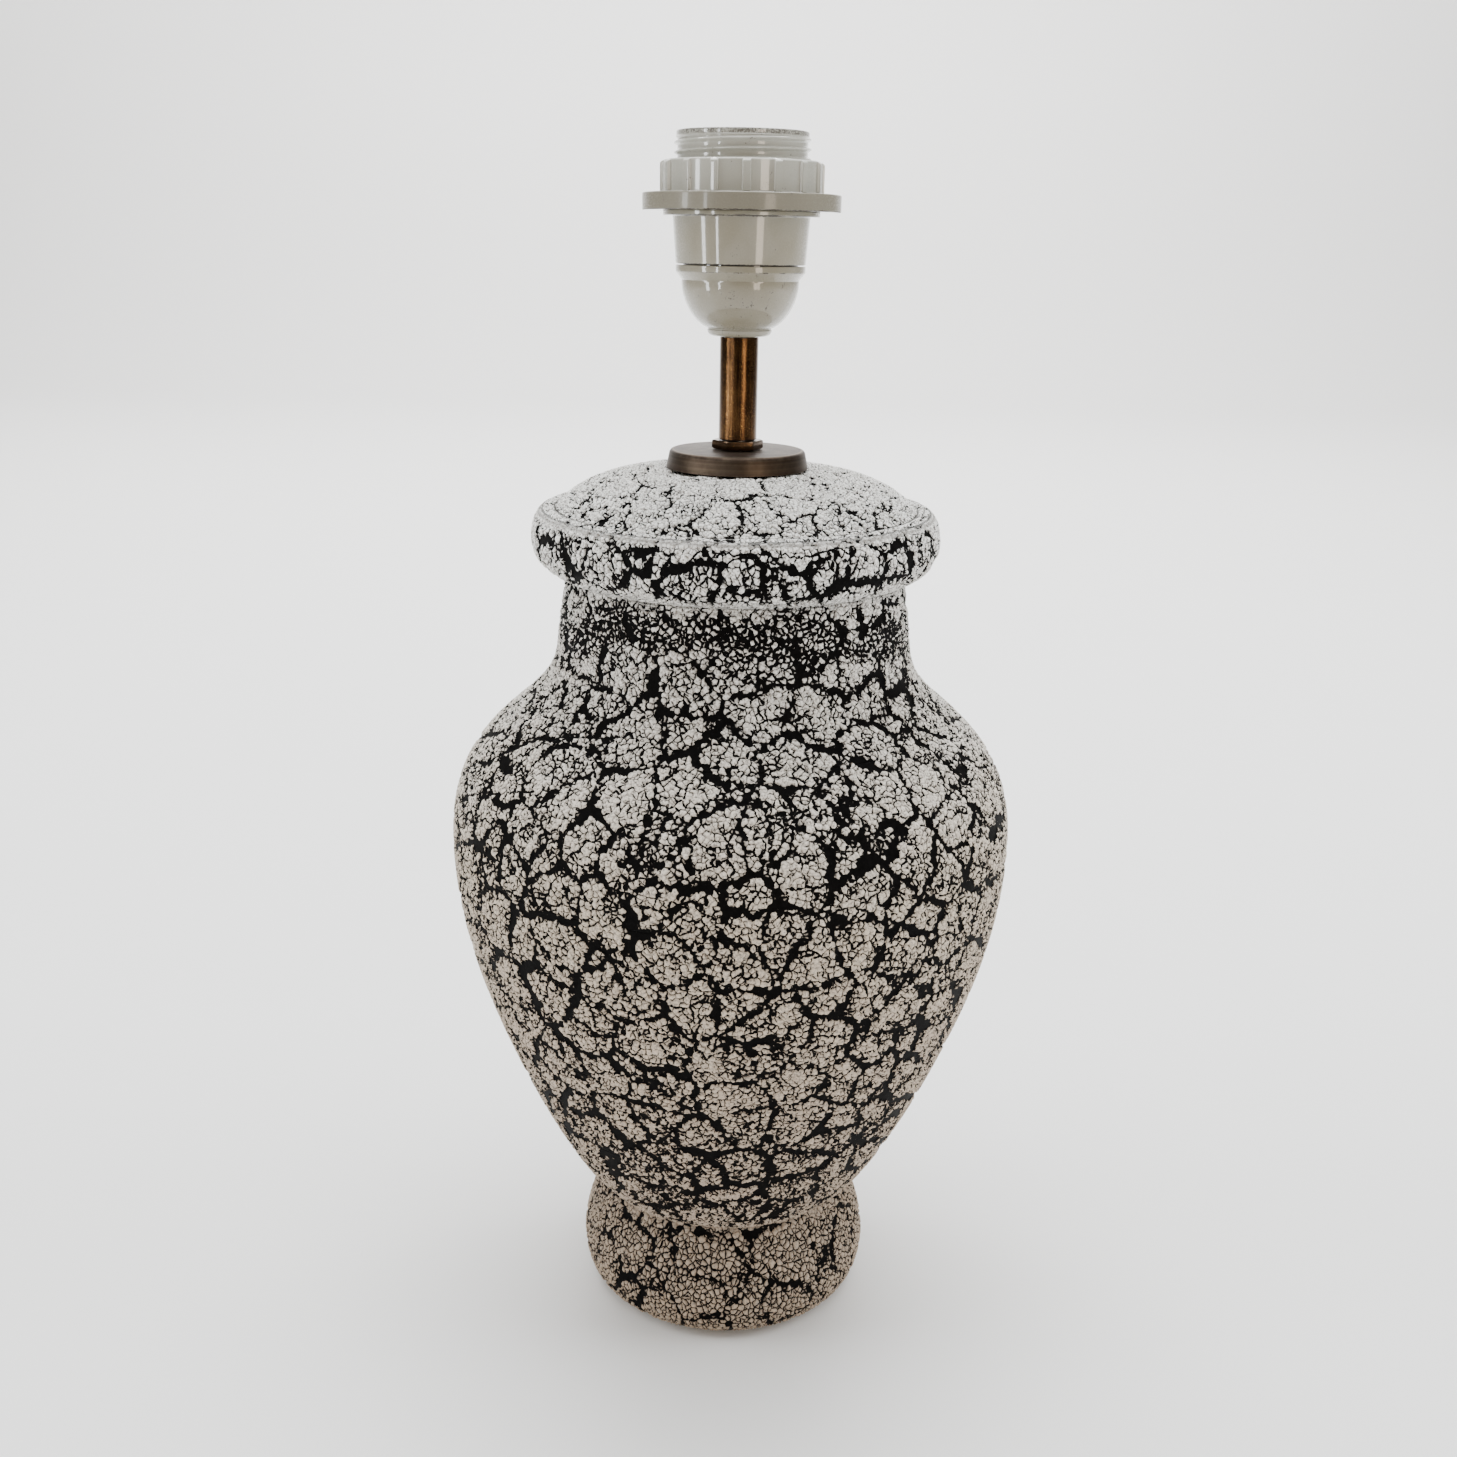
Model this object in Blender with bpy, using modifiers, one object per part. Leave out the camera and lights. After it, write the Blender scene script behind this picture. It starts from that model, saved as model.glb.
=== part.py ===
"""Table lamp base: a ceramic vase, a brass stem and a screw-thread lampholder with its shade ring.

Lengths are in metres and angles in degrees. Z is up, the floor is Z = 0 and the front faces -Y.
"""

import math

import bmesh
import bpy
import numpy as np
from mathutils import Vector
from mathutils.geometry import interpolate_bezier

# Clearance left between neighbouring pieces, and how far a cutter runs past the faces that it cuts.
SEAT_GAP = 0.0003
OVERRUN = 0.002

# Points closer than this are one point.
WELD = 0.00001

# Felt ring glued under the foot.
FELT_THICKNESS = 0.0012
FELT_WIDTH = 0.0070

# Ceramic vase, from its standing face up. Each rise is the height of one stretch of the outline.
VASE_WALL = 0.0060
FOOT_FACE_WIDTH = 0.0095
FOOT_BASE_RADIUS = 0.0425
FOOT_BULGE_RADIUS = 0.0486
FOOT_BULGE_RISE = 0.0135
WAIST_RADIUS = 0.0412
WAIST_RISE = 0.0247
FLANK_RADIUS = 0.0784
FLANK_RISE = 0.0683
BELLY_RADIUS = 0.0894
BELLY_RISE = 0.0560
SHOULDER_RADIUS = 0.0690
SHOULDER_RISE = 0.0415
NECK_RADIUS = 0.0553
NECK_RISE = 0.0215
CREASE_RADIUS = 0.0523
CREASE_RISE = 0.0210
RIM_RADIUS = 0.0629
RIM_RISE = 0.0115
VALLEY_RADIUS = 0.0555
VALLEY_RISE = 0.0087
SEAT_RADIUS = 0.0226
SEAT_RISE = 0.0119
STEM_HOLE_RADIUS = 0.0070

# Cord hole at the rear of the foot, and the grommet in it.
CORD_BORE_RADIUS = 0.0035
GROMMET_WALL = 0.0015
GROMMET_FLANGE_WIDTH = 0.0014
GROMMET_FLANGE_THICKNESS = 0.0012

# Hollow threaded rod through the stem.
ROD_RADIUS = 0.0050
ROD_BORE_RADIUS = 0.0034
ROD_TAIL = 0.0040
ROD_REACH = 0.0088

# Pieces that clamp the rod from inside the vase.
GASKET_RADIUS = 0.0145
GASKET_THICKNESS = 0.0020
WASHER_RADIUS = 0.0135
WASHER_THICKNESS = 0.0016
LOCK_WASHER_RADIUS = 0.0086
LOCK_WASHER_THICKNESS = 0.0020
LOCK_WASHER_SLIT = 0.0012
INNER_NUT_ACROSS_FLATS = 0.0170
INNER_NUT_THICKNESS = 0.0040

# Spun brass cap, the nut on it and the stem tube.
CAP_BASE_RADIUS = 0.0216
CAP_TOP_RADIUS = 0.0205
CAP_HEIGHT = 0.0055
CAP_SHEET = 0.0010
CAP_EDGE_ROUND = 0.0016
CAP_NUT_ACROSS_FLATS = 0.0135
CAP_NUT_THICKNESS = 0.0026
NUT_CHAMFER = 0.0005
TUBE_RADIUS = 0.00575
TUBE_LENGTH = 0.0300

# Lampholder dome, its heights from its own lower face.
DOME_WALL = 0.0020
NECK_RING_RADIUS = 0.0097
NECK_RING_HEIGHT = 0.0022
NECK_RING_ROUND = 0.0013
BOWL_RADIUS = 0.0174
BOWL_RISE = 0.0138
BEAD_RADIUS = 0.01915
BEAD_CHAMFER_RISE = 0.0023
BEAD_RISE = 0.0019
SPIGOT_RISE = 0.0073
SPIGOT_RADIUS = 0.0170
SPIGOT_BORE_RADIUS = 0.0152

# Metal entry bush in the dome's boss, and the set screw that bears on the rod.
BUSH_WALL = 0.0012
BUSH_HEIGHT = 0.0070
BOSS_WALL = 0.0024
SET_SCREW_RADIUS = 0.0015
SET_SCREW_SINK = 0.0003
SET_SCREW_RISE = 0.0034
SLOT_WIDTH = 0.0006
SLOT_DEPTH = 0.0008

# Lampholder skirt, with the collar that a shade rests on.
SKIRT_BODY_RISE = 0.0134
SKIRT_TOP_RADIUS = 0.02015
COLLAR_RADIUS = 0.02295
COLLAR_THICKNESS = 0.0014
THREAD_RADIUS = 0.0199
THREAD_RISE = 0.0219
SKIRT_BORE_RADIUS = 0.0174
CLAMP_RIB_RADIUS = 0.0156
CLAMP_RIB_THICKNESS = 0.0018

# Shade ring on the skirt's thread.
FLANGE_RADIUS = 0.0290
FLANGE_THICKNESS = 0.0046
GRIP_RADIUS = 0.0239
GRIP_HEIGHT = 0.0090
GRIP_PANEL_DEPTH = 0.0010
GRIP_RIB_WIDTH = 0.0024
GRIP_RIB_COUNT = 16
GRIP_TURN = 2.8

# Insert that carries the contacts.
INSERT_FLANGE_THICKNESS = 0.0016
INSERT_DEPTH = 0.0068
CONTACT_POCKET_LENGTH = 0.0084
CONTACT_POCKET_WIDTH = 0.0064
CONTACT_POCKET_DEPTH = 0.0022

# Screw shell of the lamp socket.
SHELL_BORE_RADIUS = 0.0133
SHELL_SHEET = 0.0005
SHELL_HEIGHT = 0.0223
SHELL_FLOOR_BORE_RADIUS = 0.0086

# Centre contact: a bent spring leaf, its rise from its foot to its crest.
LEAF_THICKNESS = 0.0005
LEAF_WIDTH = 0.0050
LEAF_HEEL = 0.0015
LEAF_REACH = 0.0064
LEAF_RISE = 0.0034
LEAF_TIP = 0.0026

# Rivets and terminals.
RIVET_RADIUS = 0.0008
RIVET_HEAD_RADIUS = 0.0015
RIVET_HEAD_HEIGHT = 0.0007
SHELL_RIVET_RADIUS = 0.0106
TERMINAL_PLATE_THICKNESS = 0.0010
TERMINAL_WIDTH = 0.0052
TERMINAL_BLOCK_LENGTH = 0.0044
TERMINAL_BLOCK_HEIGHT = 0.0055
TERMINAL_STEP = 0.0041
WIRE_HOLE_RADIUS = 0.0012
TERMINAL_SCREW_RADIUS = 0.0010
TERMINAL_SCREW_HEAD_RADIUS = 0.0018
TERMINAL_SCREW_HEAD_HEIGHT = 0.0012

# How finely round pieces are faceted.
VASE_SEGMENTS = 48
SHELL_SEGMENTS = 40
STEM_SEGMENTS = 24
SMALL_SEGMENTS = 12
SMOOTH_ANGLE = 35

# Handles of the vase's outline: the shares of a stretch, across and up, at its start and at its end.
FOOT_SHARES = (0.57, 0.04, 1.00, 0.48)
WAIST_SHARES = (0.00, 0.32, 0.54, 0.69)
FLANK_SHARES = (0.26, 0.05, 0.72, 0.575)
BELLY_SHARES = (0.54, 0.295, 1.00, 0.64)
SHOULDER_SHARES = (0.00, 0.53, 0.41, 0.75)
NECK_SHARES = (0.66, 0.35, 0.95, 0.58)
CREASE_SHARES = (0.20, 0.33, 0.50, 0.67)
RIM_SHARES = (0.585, 0.13, 1.00, 0.435)
VALLEY_SHARES = (0.00, 0.80, 0.46, 1.24)
SEAT_SHARES = (0.17, 0.61, 0.53, 1.00)

# Handles of smaller rounded shapes.
ROUND_SHARES = (0.55, 0.00, 1.00, 0.45)
BOWL_SHARES = (0.00, 0.50, 0.55, 0.92)
NECK_RING_SHARES = (0.00, 0.55, 0.45, 1.00)

# Side view of the contact leaf past its foot: shares of its reach or of its tip, and of its rise.
LEAF_BEND_SHARES = (0.20, 0.00)
LEAF_RUN_SHARES = (0.80, 0.85)
LEAF_TIP_SHARES = ((0.5, 0.95), (1.0, 0.75))


def collection(name, shown):
    """A new collection in the scene. One that isn't shown holds cutters."""
    made = bpy.data.collections.new(name)
    bpy.context.scene.collection.children.link(made)
    made.hide_render = not shown
    return made


def finish(name, colour, roughness, metallic=0.0):
    """A plain material for one kind of surface."""
    material = bpy.data.materials.new(name)
    material.use_nodes = True
    shader = material.node_tree.nodes["Principled BSDF"]
    shader.inputs["Base Color"].default_value = (*colour, 1)
    shader.inputs["Roughness"].default_value = roughness
    shader.inputs["Metallic"].default_value = metallic
    material.diffuse_color = (*colour, 1)
    return material


def place(name, mesh, parent, height, material=None):
    """Adds a mesh as a part of the lamp or, with no material, as a cutter."""
    piece = bpy.data.objects.new(name, mesh)
    piece.parent = parent
    piece.location.z = height
    if material is None:
        CUTTERS.objects.link(piece)
        piece.hide_render = True
        piece.display_type = "WIRE"
    else:
        PARTS.objects.link(piece)
        mesh.materials.append(material)
    return piece


def stretch(start, end, shares, count):
    """Points along one smooth stretch of an outline, without its last point."""
    across, up = end[0] - start[0], end[1] - start[1]
    handles = [
        Vector((start[0] + shares[i] * across, start[1] + shares[i + 1] * up, 0)) for i in (0, 2)
    ]
    curve = interpolate_bezier(
        Vector((*start, 0)), handles[0], handles[1], Vector((*end, 0)), count + 1
    )
    return [(point.x, point.y) for point in curve[:-1]]


def turned(name, profile, parent, height, segments, material=None, closed=True):
    """Turns a profile of (radius, level) points about Z. It runs down its outer side.

    A closed profile is a loop round a bore. An open one starts and ends on the axis.
    """
    count = len(profile)
    edges = [(i, (i + 1) % count) for i in range(count if closed else count - 1)]
    mesh = bpy.data.meshes.new(name)
    mesh.from_pydata([(radius, 0, level) for radius, level in profile], edges, [])
    piece = place(name, mesh, parent, height, material)
    screw = piece.modifiers.new("Turn", "SCREW")
    screw.steps = segments
    screw.render_steps = segments
    screw.use_merge_vertices = not closed
    screw.merge_threshold = WELD
    return piece


def washer(name, radius, bore_radius, thickness, parent, height, segments, material):
    """A plain ring: washers, gaskets, sleeves and tubes."""
    profile = [(radius, thickness), (radius, 0), (bore_radius, 0), (bore_radius, thickness)]
    return turned(name, profile, parent, height, segments, material)


def bar(name, radius, length, parent, height, segments, material=None):
    """A solid round bar standing on its own origin. With six segments it is a hexagon."""
    mesh = bpy.data.meshes.new(name)
    solid = bmesh.new()
    bmesh.ops.create_cone(
        solid, cap_ends=True, segments=segments, radius1=radius, radius2=radius, depth=length
    )
    bmesh.ops.translate(solid, verts=solid.verts, vec=(0, 0, length / 2))
    solid.to_mesh(mesh)
    solid.free()
    return place(name, mesh, parent, height, material)


def block(name, size, parent, height, material=None):
    """A box standing on its own origin."""
    mesh = bpy.data.meshes.new(name)
    solid = bmesh.new()
    bmesh.ops.create_cube(solid, size=1)
    bmesh.ops.scale(solid, verts=solid.verts, vec=size)
    bmesh.ops.translate(solid, verts=solid.verts, vec=(0, 0, size[2] / 2))
    solid.to_mesh(mesh)
    solid.free()
    return place(name, mesh, parent, height, material)


def combine(piece, tool, operation):
    """Cuts a tool from a piece, joins it on, or keeps only what they share."""
    modifier = piece.modifiers.new(f"{operation.title()} {tool.name}", "BOOLEAN")
    modifier.operation = operation
    modifier.object = tool
    modifier.solver = "EXACT"


def point_to_rear(piece):
    """Turns a piece from standing along Z to lying along Y, its top towards the rear."""
    piece.rotation_euler.x = math.radians(-90)


def smooth_by_angle():
    """A modifier's node group that shades faces smooth, and keeps edges sharper than an angle."""
    group = bpy.data.node_groups.new("Smooth by Angle", "GeometryNodeTree")
    for way in ("INPUT", "OUTPUT"):
        group.interface.new_socket("Mesh", in_out=way, socket_type="NodeSocketGeometry")
    enter = group.nodes.new("NodeGroupInput")
    leave = group.nodes.new("NodeGroupOutput")
    turn = group.nodes.new("GeometryNodeInputMeshEdgeAngle")
    gentle = group.nodes.new("FunctionNodeCompare")
    gentle.operation = "LESS_THAN"
    gentle.inputs["B"].default_value = math.radians(SMOOTH_ANGLE)
    faces = group.nodes.new("GeometryNodeSetShadeSmooth")
    edges = group.nodes.new("GeometryNodeSetShadeSmooth")
    edges.domain = "EDGE"
    group.links.new(turn.outputs["Unsigned Angle"], gentle.inputs["A"])
    group.links.new(enter.outputs["Mesh"], faces.inputs["Geometry"])
    group.links.new(faces.outputs["Geometry"], edges.inputs["Geometry"])
    group.links.new(gentle.outputs["Result"], edges.inputs["Shade Smooth"])
    group.links.new(edges.outputs["Geometry"], leave.inputs["Mesh"])
    return group


def hex_nut(name, across_flats, thickness, parent, height, material):
    """A turned blank with chamfered faces, cut to six flats, one of them facing the front."""
    corner_radius = across_flats / math.sqrt(3)
    face_radius = corner_radius - 2 * NUT_CHAMFER
    bore_radius = ROD_RADIUS + SEAT_GAP
    blank = [
        (face_radius, thickness),
        (corner_radius, thickness - NUT_CHAMFER),
        (corner_radius, NUT_CHAMFER),
        (face_radius, 0),
        (bore_radius, 0),
        (bore_radius, thickness),
    ]
    nut = turned(name, blank, parent, height, STEM_SEGMENTS, material)
    flats = bar(f"{name}_flats", corner_radius, thickness + 2 * OVERRUN, parent, height - OVERRUN, 6)
    flats.rotation_euler.z = math.radians(30)
    combine(nut, flats, "INTERSECT")
    return nut


def outline(start, stations):
    """Points along stretches that follow each other. A station is where one ends, seen from its start."""
    points = []
    for radius, rise, shares, count in stations:
        end = (radius, start[1] + rise)
        points += stretch(start, end, shares, count)
        start = end
    return points + [start]


def inset(points, wall):
    """The inner points of a line, moved in by the wall's thickness square to the line."""
    moved = []
    for before, here, after in zip(points, points[1:], points[2:]):
        run = (Vector(after) - Vector(before)).normalized()
        moved.append((here[0] - wall * run.y, here[1] + wall * run.x))
    return moved


def radius_at(line, level):
    """Radius, at a level, of a rising line of (radius, level) points."""
    radii, levels = zip(*line)
    return float(np.interp(level, levels, radii))


def vase_lines():
    """The vase's outside, as one rising line for each ring, and its inside, as one line in all.

    The inside follows the outside of the body and the dome, with half as many points, and goes
    straight past the rim, which is solid.
    """
    stretches = {
        "ceramic_foot": [
            (FOOT_BULGE_RADIUS, FOOT_BULGE_RISE, FOOT_SHARES, 4),
            (WAIST_RADIUS, WAIST_RISE, WAIST_SHARES, 4),
        ],
        "ceramic_flank": [(FLANK_RADIUS, FLANK_RISE, FLANK_SHARES, 5)],
        "ceramic_belly": [(BELLY_RADIUS, BELLY_RISE, BELLY_SHARES, 4)],
        "ceramic_shoulder": [(SHOULDER_RADIUS, SHOULDER_RISE, SHOULDER_SHARES, 5)],
        "ceramic_neck": [
            (NECK_RADIUS, NECK_RISE, NECK_SHARES, 4),
            (CREASE_RADIUS, CREASE_RISE, CREASE_SHARES, 3),
        ],
    }
    lines = {}
    body = [(FOOT_BASE_RADIUS, 0)]
    for name, stations in stretches.items():
        lines[name] = outline(body[-1], stations)
        body += lines[name][1:]
    rim = outline(
        body[-1],
        [(RIM_RADIUS, RIM_RISE, RIM_SHARES, 4), (VALLEY_RADIUS, VALLEY_RISE, VALLEY_SHARES, 5)],
    )
    dome = outline(rim[-1], [(SEAT_RADIUS, SEAT_RISE, SEAT_SHARES, 4)])
    lines["ceramic_dome"] = rim + dome[1:] + [(STEM_HOLE_RADIUS, VASE_SEAT_LEVEL)]
    ceiling = VASE_SEAT_LEVEL - VASE_WALL
    inside = [(MOUTH_RADIUS, 0)] + inset(body, VASE_WALL)[1::2] + inset(dome, VASE_WALL)
    return lines, inside + [(SEAT_RADIUS, ceiling), (STEM_HOLE_RADIUS, ceiling)]


# Places that follow from the sizes.
MOUTH_RADIUS = FOOT_BASE_RADIUS - FOOT_FACE_WIDTH
VASE_SEAT_LEVEL = (
    FOOT_BULGE_RISE
    + WAIST_RISE
    + FLANK_RISE
    + BELLY_RISE
    + SHOULDER_RISE
    + NECK_RISE
    + CREASE_RISE
    + RIM_RISE
    + VALLEY_RISE
    + SEAT_RISE
)
VASE_HEIGHT = FELT_THICKNESS + SEAT_GAP
CAP_LEVEL = VASE_HEIGHT + VASE_SEAT_LEVEL + SEAT_GAP
CAP_NUT_LEVEL = CAP_LEVEL + CAP_HEIGHT + SEAT_GAP
TUBE_LEVEL = CAP_NUT_LEVEL + CAP_NUT_THICKNESS + SEAT_GAP
HOLDER_LEVEL = TUBE_LEVEL + TUBE_LENGTH + SEAT_GAP
CEILING_LEVEL = VASE_HEIGHT + VASE_SEAT_LEVEL - VASE_WALL
GASKET_LEVEL = CEILING_LEVEL - SEAT_GAP - GASKET_THICKNESS
WASHER_LEVEL = GASKET_LEVEL - SEAT_GAP - WASHER_THICKNESS
LOCK_WASHER_LEVEL = WASHER_LEVEL - SEAT_GAP - LOCK_WASHER_THICKNESS
INNER_NUT_LEVEL = LOCK_WASHER_LEVEL - SEAT_GAP - INNER_NUT_THICKNESS
ROD_LEVEL = INNER_NUT_LEVEL - ROD_TAIL
ROD_HOLE_RADIUS = ROD_RADIUS + SEAT_GAP

# Levels inside the lampholder, from the dome's lower face.
BOWL_TOP = NECK_RING_HEIGHT + BOWL_RISE
BEAD_BOTTOM = BOWL_TOP + BEAD_CHAMFER_RISE
JOINT = BEAD_BOTTOM + BEAD_RISE
SPIGOT_TOP = JOINT + SPIGOT_RISE
SKIRT_BOTTOM = JOINT + SEAT_GAP
COLLAR_BOTTOM = SKIRT_BOTTOM + SKIRT_BODY_RISE
COLLAR_TOP = COLLAR_BOTTOM + COLLAR_THICKNESS
SKIRT_TOP = COLLAR_TOP + THREAD_RISE
INSERT_FLANGE_BOTTOM = SPIGOT_TOP + SEAT_GAP
INSERT_TOP = INSERT_FLANGE_BOTTOM + INSERT_FLANGE_THICKNESS
INSERT_BOTTOM = INSERT_FLANGE_BOTTOM - INSERT_DEPTH
CLAMP_RIB_BOTTOM = INSERT_TOP + SEAT_GAP
CLAMP_RIB_TOP = CLAMP_RIB_BOTTOM + CLAMP_RIB_THICKNESS
RING_BOTTOM = COLLAR_TOP + SEAT_GAP
SHELL_BOTTOM = INSERT_TOP + SEAT_GAP
LEAF_MIDDLE = INSERT_TOP + SEAT_GAP + LEAF_THICKNESS / 2
PLATE_TOP = INSERT_BOTTOM - SEAT_GAP
PLATE_BOTTOM = PLATE_TOP - TERMINAL_PLATE_THICKNESS
SET_SCREW_LEVEL = NECK_RING_HEIGHT + SET_SCREW_RISE
RIVET_HOLE_RADIUS = RIVET_RADIUS + SEAT_GAP


def make_vase(lamp):
    """Ceramic vase, the felt under its foot and the grommet in its cord hole.

    The vase is one casting. It stands here as rings that meet on level faces, so that each
    follows the hollow with simple shapes.
    """
    lines, inside = vase_lines()
    for name, outside in lines.items():
        bottom, top = outside[0][1], outside[-1][1]
        ring = [(radius_at(inside, bottom), bottom)]
        ring += [point for point in inside if bottom < point[1] < top]
        if name != "ceramic_dome":
            ring.append((radius_at(inside, top), top))
        turned(name, ring + outside[::-1], lamp, VASE_HEIGHT, VASE_SEGMENTS, CERAMIC)

    grommet_radius = CORD_BORE_RADIUS + GROMMET_WALL
    cord_level = VASE_HEIGHT + FOOT_BULGE_RISE
    inner_face = FOOT_BULGE_RADIUS - VASE_WALL
    hole = bar(
        "cord_hole",
        grommet_radius + SEAT_GAP,
        VASE_WALL + 2 * OVERRUN,
        lamp,
        cord_level,
        SMALL_SEGMENTS,
    )
    hole.location.y = inner_face - OVERRUN
    point_to_rear(hole)
    combine(bpy.data.objects["ceramic_foot"], hole, "DIFFERENCE")

    flange_bottom = VASE_WALL + SEAT_GAP
    flange_top = flange_bottom + GROMMET_FLANGE_THICKNESS
    flange_radius = grommet_radius + GROMMET_FLANGE_WIDTH
    grommet = turned(
        "cord_grommet",
        [
            (flange_radius, flange_top),
            (flange_radius, flange_bottom),
            (grommet_radius, flange_bottom),
            (grommet_radius, 0),
            (CORD_BORE_RADIUS, 0),
            (CORD_BORE_RADIUS, flange_top),
        ],
        lamp,
        cord_level,
        SMALL_SEGMENTS,
        RUBBER,
    )
    grommet.location.y = inner_face
    point_to_rear(grommet)

    felt_bore = MOUTH_RADIUS + (FOOT_FACE_WIDTH - FELT_WIDTH) / 2
    washer(
        "felt_ring", felt_bore + FELT_WIDTH, felt_bore, FELT_THICKNESS, lamp, 0, VASE_SEGMENTS, FELT
    )


def make_clamp(lamp):
    """Gasket, washers and nut that hold the rod against the vase's ceiling."""
    washer(
        "inner_gasket",
        GASKET_RADIUS,
        ROD_HOLE_RADIUS,
        GASKET_THICKNESS,
        lamp,
        GASKET_LEVEL,
        STEM_SEGMENTS,
        RUBBER,
    )
    washer(
        "inner_washer",
        WASHER_RADIUS,
        ROD_HOLE_RADIUS,
        WASHER_THICKNESS,
        lamp,
        WASHER_LEVEL,
        STEM_SEGMENTS,
        STEEL,
    )
    spring = washer(
        "inner_lock_washer",
        LOCK_WASHER_RADIUS,
        ROD_HOLE_RADIUS,
        LOCK_WASHER_THICKNESS,
        lamp,
        LOCK_WASHER_LEVEL,
        STEM_SEGMENTS,
        STEEL,
    )
    slit_size = (LOCK_WASHER_SLIT, LOCK_WASHER_RADIUS + OVERRUN, LOCK_WASHER_THICKNESS + 2 * OVERRUN)
    slit = block("lock_washer_slit", slit_size, lamp, LOCK_WASHER_LEVEL - OVERRUN)
    slit.location.y = -slit_size[1] / 2
    combine(spring, slit, "DIFFERENCE")
    hex_nut(
        "inner_nut", INNER_NUT_ACROSS_FLATS, INNER_NUT_THICKNESS, lamp, INNER_NUT_LEVEL, STEEL
    )


def make_stem(lamp):
    """Cap, nut and tube on the hollow rod."""
    edge = CAP_HEIGHT - CAP_EDGE_ROUND
    face_radius = CAP_TOP_RADIUS - CAP_EDGE_ROUND
    outside = stretch((face_radius, CAP_HEIGHT), (CAP_TOP_RADIUS, edge), ROUND_SHARES, 4)
    inner_edge = edge - CAP_SHEET / 2
    profile = [(ROD_HOLE_RADIUS, CAP_HEIGHT)] + outside
    profile += [
        (CAP_TOP_RADIUS, edge),
        (CAP_BASE_RADIUS, 0),
        (CAP_BASE_RADIUS - CAP_SHEET, 0),
        (CAP_TOP_RADIUS - CAP_SHEET, inner_edge),
        (face_radius, CAP_HEIGHT - CAP_SHEET),
        (ROD_HOLE_RADIUS, CAP_HEIGHT - CAP_SHEET),
    ]
    turned("vase_cap", profile, lamp, CAP_LEVEL, SHELL_SEGMENTS, BRONZE)
    hex_nut("cap_nut", CAP_NUT_ACROSS_FLATS, CAP_NUT_THICKNESS, lamp, CAP_NUT_LEVEL, BRASS)
    washer(
        "stem_tube",
        TUBE_RADIUS,
        ROD_HOLE_RADIUS,
        TUBE_LENGTH,
        lamp,
        TUBE_LEVEL,
        STEM_SEGMENTS,
        BRASS,
    )
    washer(
        "threaded_rod",
        ROD_RADIUS,
        ROD_BORE_RADIUS,
        HOLDER_LEVEL + ROD_REACH - ROD_LEVEL,
        lamp,
        ROD_LEVEL,
        STEM_SEGMENTS,
        STEEL,
    )


def make_dome(holder):
    """Lower shell of the lampholder, with its entry bush and the set screw."""
    bush_radius = ROD_HOLE_RADIUS + BUSH_WALL
    boss_bore = bush_radius + SEAT_GAP
    boss_radius = boss_bore + BOSS_WALL
    bush_bottom = NECK_RING_HEIGHT + SEAT_GAP
    boss_top = NECK_RING_HEIGHT + BUSH_HEIGHT
    floor = NECK_RING_HEIGHT + DOME_WALL
    profile = [(SPIGOT_RADIUS, SPIGOT_TOP), (SPIGOT_RADIUS, JOINT), (BEAD_RADIUS, JOINT)]
    profile.append((BEAD_RADIUS, BEAD_BOTTOM))
    bowl = stretch((BOWL_RADIUS, BOWL_TOP), (NECK_RING_RADIUS, NECK_RING_HEIGHT), BOWL_SHARES, 7)
    bowl.append((NECK_RING_RADIUS, NECK_RING_HEIGHT))
    profile += bowl
    ring_face = (NECK_RING_RADIUS - NECK_RING_ROUND, 0)
    profile += stretch((NECK_RING_RADIUS, NECK_RING_ROUND), ring_face, NECK_RING_SHARES, 3)
    profile += [
        ring_face,
        (ROD_HOLE_RADIUS, 0),
        (ROD_HOLE_RADIUS, NECK_RING_HEIGHT),
        (boss_bore, NECK_RING_HEIGHT),
        (boss_bore, boss_top),
        (boss_radius, boss_top),
        (boss_radius, floor),
    ]
    inner_radius = BOWL_RADIUS - DOME_WALL
    profile += stretch((inner_radius, BOWL_TOP), (boss_radius, floor), BOWL_SHARES, 4)[:0:-1]
    profile += [(SPIGOT_BORE_RADIUS, BOWL_TOP), (SPIGOT_BORE_RADIUS, SPIGOT_TOP)]
    dome = turned("holder_dome", profile, holder, 0, SHELL_SEGMENTS, WHITE)
    bush = washer(
        "entry_bush",
        bush_radius,
        ROD_HOLE_RADIUS,
        BUSH_HEIGHT,
        holder,
        bush_bottom,
        STEM_SEGMENTS,
        CONTACT,
    )
    hole = bar(
        "set_screw_hole",
        SET_SCREW_RADIUS + SEAT_GAP,
        BOWL_RADIUS + OVERRUN,
        holder,
        SET_SCREW_LEVEL,
        SMALL_SEGMENTS,
    )
    point_to_rear(hole)
    combine(dome, hole, "DIFFERENCE")
    combine(bush, hole, "DIFFERENCE")
    screw_end = radius_at(bowl[::-1], SET_SCREW_LEVEL) - SET_SCREW_SINK
    screw = bar(
        "set_screw",
        SET_SCREW_RADIUS,
        screw_end - ROD_HOLE_RADIUS,
        holder,
        SET_SCREW_LEVEL,
        SMALL_SEGMENTS,
        STEEL,
    )
    screw.location.y = ROD_HOLE_RADIUS
    point_to_rear(screw)
    slot_size = (2 * SET_SCREW_RADIUS + OVERRUN, SLOT_DEPTH + OVERRUN, SLOT_WIDTH)
    slot = block("set_screw_slot", slot_size, holder, SET_SCREW_LEVEL - SLOT_WIDTH / 2)
    slot.location.y = screw_end - SLOT_DEPTH + slot_size[1] / 2
    combine(screw, slot, "DIFFERENCE")


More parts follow.
